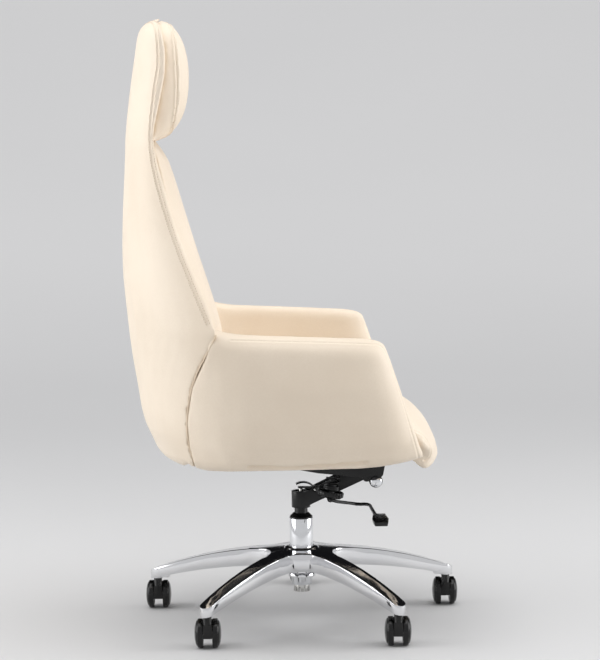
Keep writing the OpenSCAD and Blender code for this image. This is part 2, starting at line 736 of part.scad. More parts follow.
// Upright profile drawn in place along the chair, w wide across it
module upright(w) {
    rotate([90, 0, 0])
        linear_extrude(w, center = true)
        children();
}
module release_tongue() {
    under = button_top_z + gap;
    tail_z = crank_z + crank_r + 1.5 * gap;
    tail_t = 3;
    // the leaf over the button is an arc about this place
    leaf = [pin_x - 24, pin_z - 17];
    leaf_r = 31;
    leaf_t = 1.6;
    color("#232325")
    difference() {
        union() {
            upright(14)
                polygon([[-6, under], [6, under], [pin_x, pin_z - 3], [pin_x, pin_z + 3],
                    [7, under + 2.4], [-6, under + 2.4]]);
            upright(20)
                polygon(concat(
                    [for (a = [40 : 8 : 120]) leaf + leaf_r * [cos(a), sin(a)]],
                    [for (a = [120 : -8 : 40]) leaf + (leaf_r - leaf_t) * [cos(a), sin(a)]]));
            upright(10)
                polygon([[pin_x, pin_z - 2], [crank_x, tail_z], [crank_x + 6, tail_z + 1.6],
                    [crank_x + 6, tail_z + 1.6 + tail_t], [crank_x, tail_z + tail_t], [pin_x, pin_z + 4]]);
            upright(24)
                translate([pin_x, pin_z])
                circle(d = pin_d + 5);
        }
        upright(60)
            translate([pin_x, pin_z])
            circle(d = pin_d + 2 * fit);
    }
}
module lever_crank() {
    color("#303032")
    difference() {
        upright(5)
            hull() {
                translate([lever_x, lever_z])
                    circle(d = rod_d + 4);
                translate([crank_x, crank_z])
                    circle(r = crank_r);
            }
        upright(60)
            translate([lever_x, lever_z])
            circle(d = rod_d + 2 * press);
    }
}
// Route of the bent lever rod in plan, from where it leaves the beam: along and across the chair
rod_route = [for (p = [[0, -24], [2, -32], [24, -70], [33, -82], [44, -84], [52, -86], [58, -94],
    [64, -120], [78, -196], [83, -222]]) [lever_x + p[0], p[1]]];
function route_along(c) = [for (i = [0 : len(rod_route) - 1]) [i, rod_route[i][c]]];
function route_at(t) = [smooth(route_along(0), t), smooth(route_along(1), t)];
function rod_ring(t, last) =
    let (p = route_at(t), q = route_at(min(t + step, last)), r = route_at(max(t - step, 0)))
    let (d = [q[0] - r[0], q[1] - r[1]], l = norm(d), n = [-d[1] / l, d[0] / l])
    [for (a = [0 : 36 : 324])
        [p[0] + n[0] * rod_d / 2 * cos(a), p[1] + n[1] * rod_d / 2 * cos(a), lever_z + rod_d / 2 * sin(a)]];
module lever_rod() {
    last = len(rod_route) - 1;
    color("#4A4A4C")
    union() {
        translate([lever_x, 0, lever_z])
            rotate([90, 0, 0])
            cylinder(d = rod_d, h = 50, center = true);
        loft([for (t = [0 : 0.5 : last]) rod_ring(t, last)], true);
    }
}
paddle_x = lever_x + 88;
paddle_y = -212;
module lever_paddle() {
    color("#1F1F21")
    difference() {
        translate([paddle_x, paddle_y, lever_z - 1])
        rotate([6, 0, 0])
        hull() {
            for (u = [[-0.28, 0], [0.28, 0], [-0.42, -0.55], [0.42, -0.55], [-0.34, -0.93], [0.34, -0.93]])
                translate([u[0] * paddle_w, u[1] * paddle_l, -paddle_t / 2 + 1.5])
                    cylinder(r1 = 2, r2 = 3.5, h = paddle_t - 3, $fn = 16);
            translate([0, -paddle_l * 0.5, 0])
                scale([paddle_w / 40, paddle_l / 46, 1])
                cylinder(d1 = 34, d2 = 26, h = paddle_t, center = true, $fn = 32);
        }
        loft([for (t = [7 : 0.5 : 9]) [for (p = rod_ring(t, 9)) p]], true);
    }
}

// ---------- gas lift ----------

hub_low_z = 94;
tube_low_z = 76;
bush_h = 11;
module column_tube() {
    color("#DCDDE0")
    difference() {
        union() {
            translate([0, 0, star_top_z])
                cylinder(d = tube_d, h = tube_top_z - star_top_z);
            translate([0, 0, tube_low_z])
                cylinder(d1 = tube_d - 6, d2 = tube_d, h = star_top_z - tube_low_z);
        }
        translate([0, 0, tube_low_z + 4])
            cylinder(d = tube_d - 7, h = 300);
        translate([0, 0, tube_low_z - 1])
            cylinder(d = piston_d + 6, h = 10);
    }
}
module guide_bush() {
    color("#161618")
    difference() {
        union() {
            translate([0, 0, tube_top_z - 60])
                cylinder(d = tube_d - 7 - 0.1, h = 60);
            translate([0, 0, tube_top_z])
                cylinder(d = tube_d - 1, h = 3);
            translate([0, 0, tube_top_z + 3])
                cylinder(d1 = tube_d - 1, d2 = gas_d + 5, h = bush_h - 3);
        }
        translate([0, 0, tube_top_z - 100])
            cylinder(d = gas_d + 2 * fit, h = 200);
    }
}
rod_low_z = 64;
module rod_retainer() {
    color("#C9CACD")
    difference() {
        union() {
            translate([0, 0, rod_low_z - 3])
                cylinder(d = 35, h = tube_low_z - gap / 3 - rod_low_z + 3);
        }
        translate([0, 0, rod_low_z - 4])
            cylinder(d = 27, h = 9);
        cylinder(d = piston_d + 2 * fit, h = 200);
        for (i = [0 : 11])
            rotate([0, 0, 15 + 30 * i])
            translate([12, -1, rod_low_z - 4])
            cube([10, 2, 11]);
    }
}
bearing_z = tube_low_z + 4;
module thrust_bearing() {
    color("#8A8A8C")
    difference() {
        translate([0, 0, bearing_z])
            cylinder(d = 24, h = 5);
        cylinder(d = piston_d + 2 * fit, h = 200);
    }
}
gas_low_z = bearing_z + 5 + gap + 4;
piston_top_z = gas_low_z + lift_stroke + 22;
module piston_rod() {
    color("#B5B6B9")
    union() {
        translate([0, 0, rod_low_z + 2])
            cylinder(d = piston_d, h = piston_top_z - rod_low_z - 2);
        translate([0, 0, bearing_z + 5 + gap])
            cylinder(d = 20, h = 2.5);
    }
}
module gas_cylinder() {
    color("#C4C5C8")
    difference() {
        translate([0, 0, gas_low_z])
            cylinder(d = gas_d, h = socket_z + socket_h - 1 - gas_low_z);
        translate([0, 0, gas_low_z - 1])
            cylinder(d = piston_d + 2 * fit, h = piston_top_z - gas_low_z + 5);
        translate([0, 0, button_top_z - 30])
            cylinder(d = 8 + 2 * fit, h = 40);
    }
}

// ---------- cast base ----------

function leg_angle(k) = leg_turn + 360 / leg_count * (k - 1);
crotch = 180 / leg_count;
crown_drop = (star_top_z - tip_top_z) / (stem_circle_r * stem_circle_r);
function star_top(r) = star_top_z - crown_drop * r * r;
skirt_low_z = 118;
skirt_drop = (skirt_low_z - 73) / (stem_circle_r * stem_circle_r);
function star_low(r) = skirt_low_z - skirt_drop * r * r;
// Half width of a leg at distance s from the hub, with the web between the legs
web_s = 58;
function leg_half(s) = tip_r + (root_half_w - tip_r) * (1 - s / stem_circle_r)
    + (web_s * tan(crotch) - root_half_w + 1) * exp(-(s - web_s) / 13);
// Half of the outline of one leg, from the crotch to the tip: [along, across]
side_steps = [web_s, 68, 82, 105, 150, 230, 300];
function leg_outline() = concat([for (s = side_steps) [s, leg_half(s)]],
    [for (a = [90 : -30 : 30]) [stem_circle_r + tip_r * cos(a), tip_r * sin(a)]],
    [[stem_circle_r + tip_r, 0]]);
function turn(p, a) = [p[0] * cos(a) - p[1] * sin(a), p[0] * sin(a) + p[1] * cos(a)];
// Outline of the whole star, counterclockwise
function outline() = [for (k = [1 : leg_count], p = concat(right_side(), left_side())) turn(p, leg_angle(k))];
function right_side() = [for (p = leg_outline()) [p[0], -p[1]]];
function left_side() = let (h = leg_outline()) [for (i = [len(h) - 2 : -1 : 1]) h[i]];
// Thickness of the casting over the vault of a leg
vault_t = cast_t + 3;
// Outline moved in by d along its own normals
function inset(o, d) = [for (i = [0 : len(o) - 1])
    let (a = o[(i + len(o) - 1) % len(o)], b = o[(i + 1) % len(o)], t = (b - a) / norm(b - a))
    o[i] + d * [-t[1], t[0]]];
rim_r = stem_circle_r + tip_r + 2;
module star_body() {
    radii = spread(0, rim_r, 9);
    difference() {
        intersection() {
            linear_extrude(star_top_z + 10)
                polygon(outline());
            rotate_extrude()
                polygon(concat([for (r = radii) [r, star_top(r)]], [for (r = backward(radii)) [r, star_low(r)]]));
        }
        intersection() {
            linear_extrude(star_top_z)
                polygon(inset(outline(), cast_t));
            rotate_extrude()
                polygon(concat([for (r = radii) [r, star_top(r) - vault_t]], [[rim_r, 0], [0, 0]]));
        }
    }
}
module base_star() {
    color("#D9DADD")
    difference() {
        union() {
            star_body();
            rotate_extrude()
                polygon([[19, star_top_z - 8], [31, star_top_z - 8], [28, 118], [27, 104], [30, 99],
                    [30, hub_low_z], [19, hub_low_z]]);
            rotate_extrude()
                polygon([[19, star_top_z - 9], [42, star_top_z - 9], [36, star_top_z + 1],
                    [31, star_top_z + 3], [19, star_top_z + 3]]);
            for (k = [1 : leg_count])
                rotate([0, 0, leg_angle(k)])
                translate([stem_circle_r, 0, tip_low_z])
                union() {
                    cylinder(r = tip_r - 3, h = 14);
                    translate([-26, -6, 2])
                        cube([26, 12, 12]);
                }
        }
        translate([0, 0, tube_low_z])
            cylinder(d1 = tube_d - 6 + 2 * press, d2 = tube_d + 2 * press, h = star_top_z - tube_low_z);
        translate([0, 0, star_top_z])
            cylinder(d = tube_d + 2 * press, h = 20);
        for (k = [1 : leg_count])
            rotate([0, 0, leg_angle(k)])
            translate([stem_circle_r, 0, tip_low_z - 1])
            cylinder(d = stem_d + 2 * press, h = stem_up + 2);
    }
}

// ---------- casters ----------

wheel_r = wheel_d / 2;
rim_w = (caster_w - hood_w) / 2 - 7;
stem_up = 14;
module caster_place(k) {
    rotate([0, 0, leg_angle(k)])
        translate([stem_circle_r, 0, 0])
        rotate([0, 0, -leg_angle(k) + caster_turn])
        children();
}
caster_turn = leg_turn - 90;
module caster_stems() {
    color("#A8A9AC")
    for (k = [1 : leg_count])
        caster_place(k)
        union() {
            translate([0, 0, hood_top_z - 14])
                cylinder(d = stem_d - 2, h = 16);
            translate([0, 0, hood_top_z + gap])
                cylinder(d = stem_d, h = tip_low_z + stem_up - hood_top_z - gap);
        }
}
hood_top_z = tip_low_z - gap;
module caster_hood(k) {
    color("#1D1D1F")
    caster_place(k)
    difference() {
        union() {
            rotate([90, 0, 90])
            linear_extrude(hood_w, center = true)
            intersection() {
                union() {
                    translate([trail, wheel_r])
                        circle(r = wheel_r - 1.5);
                    translate([-8.5, wheel_r - 6])
                        square([16, wheel_r - 1.5]);
                }
                translate([-60, wheel_r - 6])
                    square([120, 60]);
            }
            translate([0, 0, wheel_r])
                cylinder(d = 17.4, h = hood_top_z - wheel_r);
        }
        translate([0, 0, hood_top_z - 14 - 1])
            cylinder(d = stem_d - 2 + 2 * fit, h = 40);
        translate([0, trail, wheel_r])
            rotate([0, 90, 0])
            cylinder(d = caster_axle_d + 2 * press, h = 100, center = true);
    }
}
module caster_axle(k) {
    color("#8C8D90")
    caster_place(k)
        translate([0, trail, wheel_r])
        rotate([0, 90, 0])
        cylinder(d = caster_axle_d, h = hood_w + 2 * rim_w + 4, center = true);
}
module wheel(k, side) {
    w0 = hood_w / 2 + gap;
    dome = caster_w / 2 - w0 - rim_w;
    color("#222224")
    caster_place(k)
        translate([0, trail, wheel_r])
        rotate([0, side * 90, 0])
        translate([0, 0, w0])
        difference() {
            rotate_extrude()
            polygon(concat([[0, 1.5], [wheel_r - 7, 1.5], [wheel_r - 5, 0], [wheel_r - 1, 0], [wheel_r, 1],
                [wheel_r, rim_w - 1.5], [wheel_r - 1, rim_w]],
                [for (a = [0 : 15 : 90]) [(wheel_r - 3) * cos(a), rim_w + dome * sin(a)]]));
            translate([0, 0, -1])
                cylinder(d = caster_axle_d + 2 * fit, h = rim_w + 4);
        }
}

base_star();
column_tube();
guide_bush();
thrust_bearing();
rod_retainer();
caster_stems();
for (k = [1 : leg_count]) {
    caster_hood(k);
    caster_axle(k);
    wheel(k, 1);
    wheel(k, -1);
}
piston_rod();
gas_cylinder();
tilt_arm();
pivot_bushes();
valve_button();
tension_knob();
tension_screw();
spring_seat();
tension_spring();
release_pin();
release_tongue();
lever_rod();
lever_crank();
lever_paddle();
upper_bracket();
pivot_axle();
axle_nut();
pan_bolts();
seat_pan();
arm_frame_right();
arm_frame_left();
back_board();
back_shell();
arm_right();
arm_left();
back_cushion();
seat_cushion();
headrest();
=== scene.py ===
import json
import math
import bmesh
import bpy
import numpy as np
from mathutils import Matrix, Vector
from mathutils.bvhtree import BVHTree
from mathutils.kdtree import KDTree


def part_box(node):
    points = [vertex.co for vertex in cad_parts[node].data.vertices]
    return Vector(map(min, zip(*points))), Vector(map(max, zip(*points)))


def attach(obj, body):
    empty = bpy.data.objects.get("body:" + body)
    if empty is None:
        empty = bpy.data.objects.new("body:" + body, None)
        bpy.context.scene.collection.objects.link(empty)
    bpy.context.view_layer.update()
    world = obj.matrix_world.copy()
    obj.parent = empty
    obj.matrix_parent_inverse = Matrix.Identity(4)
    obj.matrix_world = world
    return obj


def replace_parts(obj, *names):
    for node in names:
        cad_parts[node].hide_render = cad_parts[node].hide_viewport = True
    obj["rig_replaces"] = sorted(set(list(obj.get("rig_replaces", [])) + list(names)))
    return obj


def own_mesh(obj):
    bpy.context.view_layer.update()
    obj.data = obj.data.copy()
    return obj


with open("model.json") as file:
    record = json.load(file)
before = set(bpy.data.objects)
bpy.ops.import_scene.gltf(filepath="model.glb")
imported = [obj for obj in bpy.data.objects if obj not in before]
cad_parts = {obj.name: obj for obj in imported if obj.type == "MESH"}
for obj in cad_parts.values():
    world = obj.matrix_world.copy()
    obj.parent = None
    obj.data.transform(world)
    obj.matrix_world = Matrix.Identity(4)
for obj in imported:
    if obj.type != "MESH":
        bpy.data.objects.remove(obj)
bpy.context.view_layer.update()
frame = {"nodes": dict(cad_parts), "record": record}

scene = bpy.context.scene
scene.view_settings.view_transform = "Standard"

# ---------------------------------------------------------------- The studio
# A pale seamless dish stands in for floor and wall, soft boxes light the chair
# from both sides and from overhead, and the camera looks from arm height, far off.
LENS = 127.85
CAMERA_AWAY = 4.9446
CAMERA_HEIGHT = 1.1759
CAMERA_ROUND = math.radians(-2.732)
CAMERA_PAN = math.radians(0.026)
CAMERA_PITCH = math.radians(6.375)
CAMERA_ROLL = math.radians(0.671)
DISH_RADIUS = 10.2
DISH_FLAT = 3.2
DISH_RISE = 0.036
DISH_SIDES = 72
DISH_CUTS = 15
LAMPS = {
    "soft_box_left": (2.4, 2.6, 52, (-2.9, -0.25, 1.5), (0, 0, 0.7)),
    "soft_box_right": (2.0, 2.4, 56, (3.0, -0.35, 1.4), (0, 0, 0.7)),
    "soft_box_top": (3.0, 2.6, 44, (0, -0.3, 3.4), (0, 0, 0.6)),
}


class Wire:
    """One output of a shader node; arithmetic on it adds Math nodes."""

    def __init__(self, finish, socket):
        self.finish = finish
        self.socket = socket

    def maths(self, operation, *terms):
        settings = {"operation": operation}
        return self.finish.add("ShaderNodeMath", settings, dict(enumerate(terms)))[0]

    def __add__(self, other):
        return self.maths("ADD", self, other)

    def __sub__(self, other):
        return self.maths("SUBTRACT", self, other)

    def __rsub__(self, other):
        return self.maths("SUBTRACT", other, self)

    def __mul__(self, other):
        return self.maths("MULTIPLY", self, other)

    __radd__ = __add__
    __rmul__ = __mul__


class Finish:
    """A material: add() puts in a node, and the other methods are its usual steps."""

    def __init__(self, name, tree=None):
        if tree is None:
            self.material = bpy.data.materials.new(name)
            self.material.use_nodes = True
            tree = self.material.node_tree
        self.tree = tree
        self.shader = tree.nodes.get("Principled BSDF")

    def feed(self, node, inputs):
        for key, value in inputs.items():
            if isinstance(value, Wire):
                self.tree.links.new(value.socket, node.inputs[key])
            else:
                node.inputs[key].default_value = value

    def add(self, kind, settings=None, inputs=None):
        node = self.tree.nodes.new(kind)
        for key, value in (settings or {}).items():
            setattr(node, key, value)
        self.feed(node, inputs or {})
        return [Wire(self, socket) for socket in node.outputs]

    def place(self):
        return self.add("ShaderNodeTexCoord")[3]

    def noise(self, spot, scale, detail=2.0):
        inputs = {"Vector": spot, "Scale": scale, "Detail": detail}
        return self.add("ShaderNodeTexNoise", None, inputs)[0]

    def cells(self, spot, scale, feature="F1"):
        inputs = {"Vector": spot, "Scale": scale}
        return self.add("ShaderNodeTexVoronoi", {"feature": feature}, inputs)[0]

    def ramp(self, value, low, high, to_low=0.0, to_high=1.0):
        settings = {"interpolation_type": "SMOOTHSTEP"}
        inputs = {0: value, 1: low, 2: high, 3: to_low, 4: to_high}
        return self.add("ShaderNodeMapRange", settings, inputs)[0]

    def mix(self, mask, one, other):
        settings = {"data_type": "RGBA"}
        return self.add("ShaderNodeMix", settings, {0: mask, 6: one, 7: other})[2]

    def bump(self, height, distance, strength=1.0):
        inputs = {"Height": height, "Distance": distance, "Strength": strength}
        return self.add("ShaderNodeBump", None, inputs)[0]


def shade(red, green, blue):
    """A colour as a paint chart gives it, 0 to 255, for a shader."""
    parts = []
    for part in (red, green, blue):
        part = part / 255
        parts.append(part / 12.92 if part < 0.04045 else ((part + 0.055) / 1.055) ** 2.4)
    return (*parts, 1.0)


for name, (width, height, power, place, aim) in LAMPS.items():
    lamp = bpy.data.lights.new(name, "AREA")
    lamp.shape = "RECTANGLE"
    lamp.size = width
    lamp.size_y = height
    lamp.energy = power
    box = bpy.data.objects.new(name, lamp)
    box.location = place
    box.rotation_euler = (Vector(aim) - Vector(place)).to_track_quat("-Z", "Y").to_euler()
    box.visible_camera = False
    scene.collection.objects.link(box)

camera_data = bpy.data.cameras.new("camera")
camera_data.lens = LENS
camera = bpy.data.objects.new("camera", camera_data)
heading = CAMERA_PAN - CAMERA_ROUND
look = Vector((math.sin(heading) * math.cos(CAMERA_PITCH),
               math.cos(heading) * math.cos(CAMERA_PITCH),
               -math.sin(CAMERA_PITCH)))
stand = Matrix.Translation((CAMERA_AWAY * math.sin(CAMERA_ROUND),
                            -CAMERA_AWAY * math.cos(CAMERA_ROUND), CAMERA_HEIGHT))
turn = look.to_track_quat("-Z", "Y").to_matrix().to_4x4()
camera.matrix_world = stand @ turn @ Matrix.Rotation(-CAMERA_ROLL, 4, "Z")
scene.collection.objects.link(camera)
scene.camera = camera

bpy.ops.object.select_all(action="DESELECT")
bpy.ops.mesh.primitive_circle_add(vertices=DISH_SIDES, radius=DISH_RADIUS, fill_type="TRIFAN")
dish = bpy.context.object
dish.name = "studio_dish"
bpy.ops.object.mode_set(mode="EDIT")
bpy.ops.mesh.subdivide(number_cuts=DISH_CUTS)
bpy.ops.object.mode_set(mode="OBJECT")
for corner in dish.data.vertices:
    out = max(corner.co.xy.length - DISH_FLAT, 0)
    corner.co.z = DISH_RISE * out * out
bpy.ops.object.shade_smooth()
paper = Finish("studio_paper")
spot = paper.place()
mottle = paper.noise(spot, 0.6)
away = paper.add("ShaderNodeVectorMath", {"operation": "LENGTH"}, {0: spot})[1]
seen = paper.add("ShaderNodeLightPath")
lift = paper.ramp(away, 0.6, 7.0, 0.0, 0.24) * (seen[0] + seen[3])
lit = paper.add("ShaderNodeCombineColor", None, {0: lift, 1: lift, 2: lift})[0]
paper.feed(paper.shader, {
    "Base Color": paper.mix(mottle, shade(206, 206, 206), shade(212, 212, 212)),
    "Roughness": 0.75,
    "Specular IOR Level": 0.2,
    "Emission Color": lit,
    "Emission Strength": 1.0,
})
dish.data.materials.append(paper.material)

sky = bpy.data.worlds.new("studio_air")
scene.world = sky
sky.use_nodes = True
air = Finish("studio_air", sky.node_tree)
ray = air.add("ShaderNodeLightPath")
toward = air.add("ShaderNodeSeparateXYZ", None, {0: air.add("ShaderNodeTexCoord")[0]})
dark_part = air.ramp(toward[1], -0.1, 0.35) * air.ramp(toward[2], 0.1, 0.16)
mirrored = air.mix(dark_part, shade(205, 205, 207), shade(20, 20, 22))
fill = air.mix(air.ramp(toward[1], -0.8, 0.0), shade(194, 194, 195), shade(205, 205, 207))
glow = air.mix(ray[3], fill, mirrored)
glow = air.mix(ray[0], glow, shade(198, 198, 198))
air.feed(sky.node_tree.nodes["Background"], {"Color": glow, "Strength": 1.0})

# ---------------------------------------------------------------- The five-star base
# One aluminium casting with five arched legs, open underneath, polished and bare.
# Its edges are ground to a soft round before it is polished.
WELD_GAP = 0.00002
FLAT_ENOUGH = math.radians(0.4)
EDGE_EASE = 0.0006
CAST_EASE = 0.0024
CAST_CORNER = 33


def alone(piece):
    """Only this piece is selected and active, so an operator acts on it alone."""
    if bpy.context.object and bpy.context.object.mode != "OBJECT":
        bpy.ops.object.mode_set(mode="OBJECT")
    bpy.ops.object.select_all(action="DESELECT")
    piece.hide_viewport = False
    piece.select_set(True)
    bpy.context.view_layer.objects.active = piece
    return piece


def copy_of(node, name):
    """A merged copy of a CAD node's mesh as an object of its own."""
    source = frame["nodes"][node]
    piece = bpy.data.objects.new(name, source.data.copy())
    piece.data.materials.clear()
    scene.collection.objects.link(piece)
    alone(piece)
    bpy.ops.object.mode_set(mode="EDIT")
    bpy.ops.mesh.select_all(action="SELECT")
    bpy.ops.mesh.remove_doubles(threshold=WELD_GAP)
    bpy.ops.mesh.customdata_custom_splitnormals_clear()
    bpy.ops.mesh.dissolve_limited(angle_limit=FLAT_ENOUGH)
    bpy.ops.object.mode_set(mode="OBJECT")
    return piece


def modify(piece, kind, **settings):
    alone(piece)
    step = piece.modifiers.new(kind.lower(), kind)
    for key, value in settings.items():
        setattr(step, key, value)
    bpy.ops.object.modifier_apply(modifier=step.name)


def seat(piece, body, finish):
    """The piece gets its finish and moves with its body."""
    piece.data.materials.clear()
    piece.data.materials.append(finish.material)
    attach(piece, body)
    return piece


bodies = frame["record"]["behaviour"]["bodies"]
body_of = {node: body for body, nodes in bodies.items() for node in nodes}
slot_of = {part["node"]: part["material_slot"] for part in frame["record"]["subparts"]}


def machined(node, finish, ease=EDGE_EASE, corner=30):
    """A CAD node's own shape with its corners eased, which stands for the node."""
    piece = copy_of(node, node + "_eased")
    modify(piece, "BEVEL", width=ease, segments=2, limit_method="ANGLE",
           angle_limit=math.radians(corner), harden_normals=False)
    alone(piece)
    bpy.ops.object.shade_smooth_by_angle(angle=math.radians(corner + 2))
    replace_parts(piece, node)
    return seat(piece, body_of[node], finish)


cast = Finish("polished_casting")
spot = cast.place()
haze = cast.noise(spot, 9.0, 3.0)
scuff = cast.noise(spot, 160.0, 4.0)
cast.shader.inputs["Metallic"].default_value = 1.0
cast.feed(cast.shader, {
    "Base Color": cast.mix(haze, shade(222, 223, 226), shade(236, 236, 237)),
    "Roughness": cast.ramp(haze * 0.7 + scuff * 0.3, 0.35, 0.75, 0.075, 0.14),
    "Normal": cast.bump(haze, 0.0006, 0.25),
})
machined("base_star", cast, CAST_EASE, CAST_CORNER)

# ---------------------------------------------------------------- The column
# A drawn steel tube, tapered into the hub and chromed, with a guide bush, a ball
# thrust bearing and a spring clip below that hold the gas lift in it.
chrome = Finish("chromed_steel")
spot = chrome.place()
drawn = chrome.noise(spot, 30.0, 3.0)
chrome.shader.inputs["Metallic"].default_value = 1.0
chrome.feed(chrome.shader, {
    "Base Color": chrome.mix(drawn, shade(226, 228, 231), shade(240, 241, 243)),
    "Roughness": chrome.ramp(drawn, 0.3, 0.8, 0.04, 0.09),
})
bright = Finish("bright_steel")
spot = bright.place()
turned_marks = bright.noise(spot, 120.0, 3.0)
bright.shader.inputs["Metallic"].default_value = 1.0
bright.feed(bright.shader, {
    "Base Color": bright.mix(turned_marks, shade(188, 187, 184), shade(212, 211, 208)),
    "Roughness": bright.ramp(turned_marks, 0.3, 0.8, 0.16, 0.3),
    "Normal": bright.bump(turned_marks, 0.0002, 0.3),
})
black_powder = Finish("black_steel")
spot = black_powder.place()
pebble = black_powder.noise(spot, 900.0, 2.0)
worn = black_powder.noise(spot, 22.0, 4.0)
black_powder.feed(black_powder.shader, {
    "Base Color": black_powder.mix(worn, shade(7, 7, 7), shade(15, 15, 15)),
    "Roughness": black_powder.ramp(worn, 0.3, 0.75, 0.24, 0.36),
    "Specular IOR Level": 0.4,
    "Normal": black_powder.bump(pebble, 0.0002, 0.4),
})
black_moulding = Finish("black_plastic")
spot = black_moulding.place()
spark = black_moulding.noise(spot, 700.0, 2.0)
bloom = black_moulding.noise(spot, 14.0, 3.0)
black_moulding.feed(black_moulding.shader, {
    "Base Color": black_moulding.mix(bloom, shade(8, 8, 8), shade(17, 17, 17)),
    "Roughness": black_moulding.ramp(bloom, 0.3, 0.75, 0.22, 0.34),
    "Specular IOR Level": 0.4,
    "Normal": black_moulding.bump(spark, 0.0002, 0.3),
})
wheel_black = Finish("wheel_plastic")
spot = wheel_black.place()
dust = wheel_black.noise(spot, 60.0, 4.0)
wheel_black.feed(wheel_black.shader, {
    "Base Color": wheel_black.mix(dust, shade(6, 6, 6), shade(14, 14, 14)),
    "Roughness": wheel_black.ramp(dust, 0.3, 0.75, 0.16, 0.28),
    "Specular IOR Level": 0.4,
    "Normal": wheel_black.bump(dust, 0.0003, 0.2),
})
finish_of = {
    "polished_casting": cast,
    "chromed_steel": chrome,
    "bright_steel": bright,
    "black_steel": black_powder,
    "black_plastic": black_moulding,
    "wheel_plastic": wheel_black,
}
for node in ("column_tube", "guide_bush", "thrust_bearing", "rod_retainer",
             "piston_rod", "gas_cylinder"):
    machined(node, finish_of[slot_of[node]])

# ---------------------------------------------------------------- The casters
# Twin-wheel casters of moulded nylon: a steel stem in the leg, a hood between two
# wheels on one axle. Each wheel turns by itself and the hood swivels on the stem.
HOOD_EASE = 0.0008
AXLE_EASE = 0.0003
machined("caster_stems", bright)
for number in range(1, 6):
    machined(f"caster_hood_{number}", wheel_black, HOOD_EASE)
    machined(f"caster_axle_{number}", bright, AXLE_EASE)
    for side in ("right", "left"):
        machined(f"wheel_{side}_{number}", wheel_black)

# ---------------------------------------------------------------- The tilt mechanism
# A pressed steel beam on the gas lift and a bracket under the seat meet on one axle.
# A coil spring with a hand knob holds the seat up, and a rod lifts the gas valve.
PADDLE_EASE = 0.001
WIRE_EASE = 0.0001
WIRE_CORNER = 80
CRANK_OUT = 0.019
CRANK_FROM = 0.045
CRANK_RISE = 0.035
CRANK_END = 0.190
CRANK_FALL = 0.090
for node in ("tilt_arm", "pivot_bushes", "valve_button", "tension_knob",
             "tension_screw", "spring_seat", "release_pin", "release_tongue",
             "lever_crank", "upper_bracket", "pivot_axle", "axle_nut", "pan_bolts"):
    machined(node, finish_of[slot_of[node]])
machined("lever_paddle", black_moulding, PADDLE_EASE)
rod = machined("lever_rod", black_powder)
for corner in rod.data.vertices:
    reach = -corner.co.y
    rise = min(max((reach - CRANK_FROM) / CRANK_RISE, 0), 1)
    back = min(max((CRANK_END - reach) / CRANK_FALL, 0), 1)
    corner.co.x += CRANK_OUT * (3 - 2 * rise) * rise * rise * back

spring_wire = machined("tension_spring", black_powder, WIRE_EASE, WIRE_CORNER)
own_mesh(spring_wire)

# ---------------------------------------------------------------- Pan, arm frames and board
# Birch plywood, pressed to shape and hidden by the upholstery: a flat pan that the
# bracket bolts to, one curved board in each arm and a tall one behind the back pad.
BOARD_EASE = 0.0024
BOARD_FOOT = 0.402
PAN_INSET = 0.955
plywood = Finish("plywood")
spot = plywood.place()
stretch = plywood.add("ShaderNodeMapping", None, {0: spot, 3: (2.0, 14.0, 14.0)})[0]
grain = plywood.noise(stretch, 6.0, 5.0)
plywood.feed(plywood.shader, {
    "Base Color": plywood.mix(grain, shade(196, 160, 116), shade(222, 190, 146)),
    "Roughness": plywood.ramp(grain, 0.3, 0.7, 0.5, 0.7),
    "Normal": plywood.bump(grain, 0.0003, 0.3),
})
for node in ("arm_frame_right", "arm_frame_left", "back_board"):
    board = copy_of(node, node + "_sanded")
    modify(board, "DISPLACE", strength=-BOARD_EASE, mid_level=0.0)
    for corner in board.data.vertices:
        corner.co.z = max(corner.co.z, BOARD_FOOT)
    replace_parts(board, node)
    seat(board, "seat", plywood)
stained = Finish("stained_plywood")
spot = stained.place()
stretch = stained.add("ShaderNodeMapping", None, {0: spot, 3: (14.0, 2.0, 14.0)})[0]
grain = stained.noise(stretch, 6.0, 5.0)
stained.feed(stained.shader, {
    "Base Color": stained.mix(grain, shade(20, 18, 17), shade(34, 31, 29)),
    "Roughness": stained.ramp(grain, 0.3, 0.7, 0.6, 0.8),
    "Normal": stained.bump(grain, 0.0003, 0.3),
})
pan = copy_of("seat_pan", "seat_pan_stained")
pan_low, pan_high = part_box("seat_pan")
pan_centre = (pan_low.x + pan_high.x) / 2
for corner in pan.data.vertices:
    corner.co.x = pan_centre + (corner.co.x - pan_centre) * PAN_INSET
    corner.co.y *= PAN_INSET
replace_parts(pan, "seat_pan")
seat(pan, "seat", stained)

# ---------------------------------------------------------------- The back shell
# Foam and cream leather over the curved board, in one tall shell. The leather turns
# round the front edge in a narrow roll, and a twin-stitched seam runs beside it.
VOXEL = 0.0036
SHARP = math.radians(38)
CRISP_GAP = 0.004
CRISP_REACH = 0.012
CLOSEST = 0.0003
WEIGHT_STEPS = 10
BOARD_CLEAR = 0.0019
SHELL_SLACK = 0.002
SHELL_CRISP_TOP = 0.66
HEM_LEVEL = 0.376
HEM_FADE = 0.06
HEM_TOP = 0.416
HEM_RISE = 0.042
HEM_DROP = 0.004
HEM_DROP_REAR = 0.009
HEM_DROP_FORE = 0.005
HEM_EDGE = 0.012
HEM_REAR = -0.10
HEM_FORE = 0.05
HEM_RUN = 0.10
PAN_SIDE = 0.222
PAN_REAR = -0.236
LINING_TOP = 0.377
LINING_FLAT = -0.97
JOINT_FOOT = 0.385
JOINT_TOP = 0.655
JOINT_REAR = -0.26
JOINT_FORE = -0.17
JOINT_SIDE = 0.24
JOINT_LEVEL = 0.006
JOINT_STEP = 0.001
JOINT_ROUNDS = 400
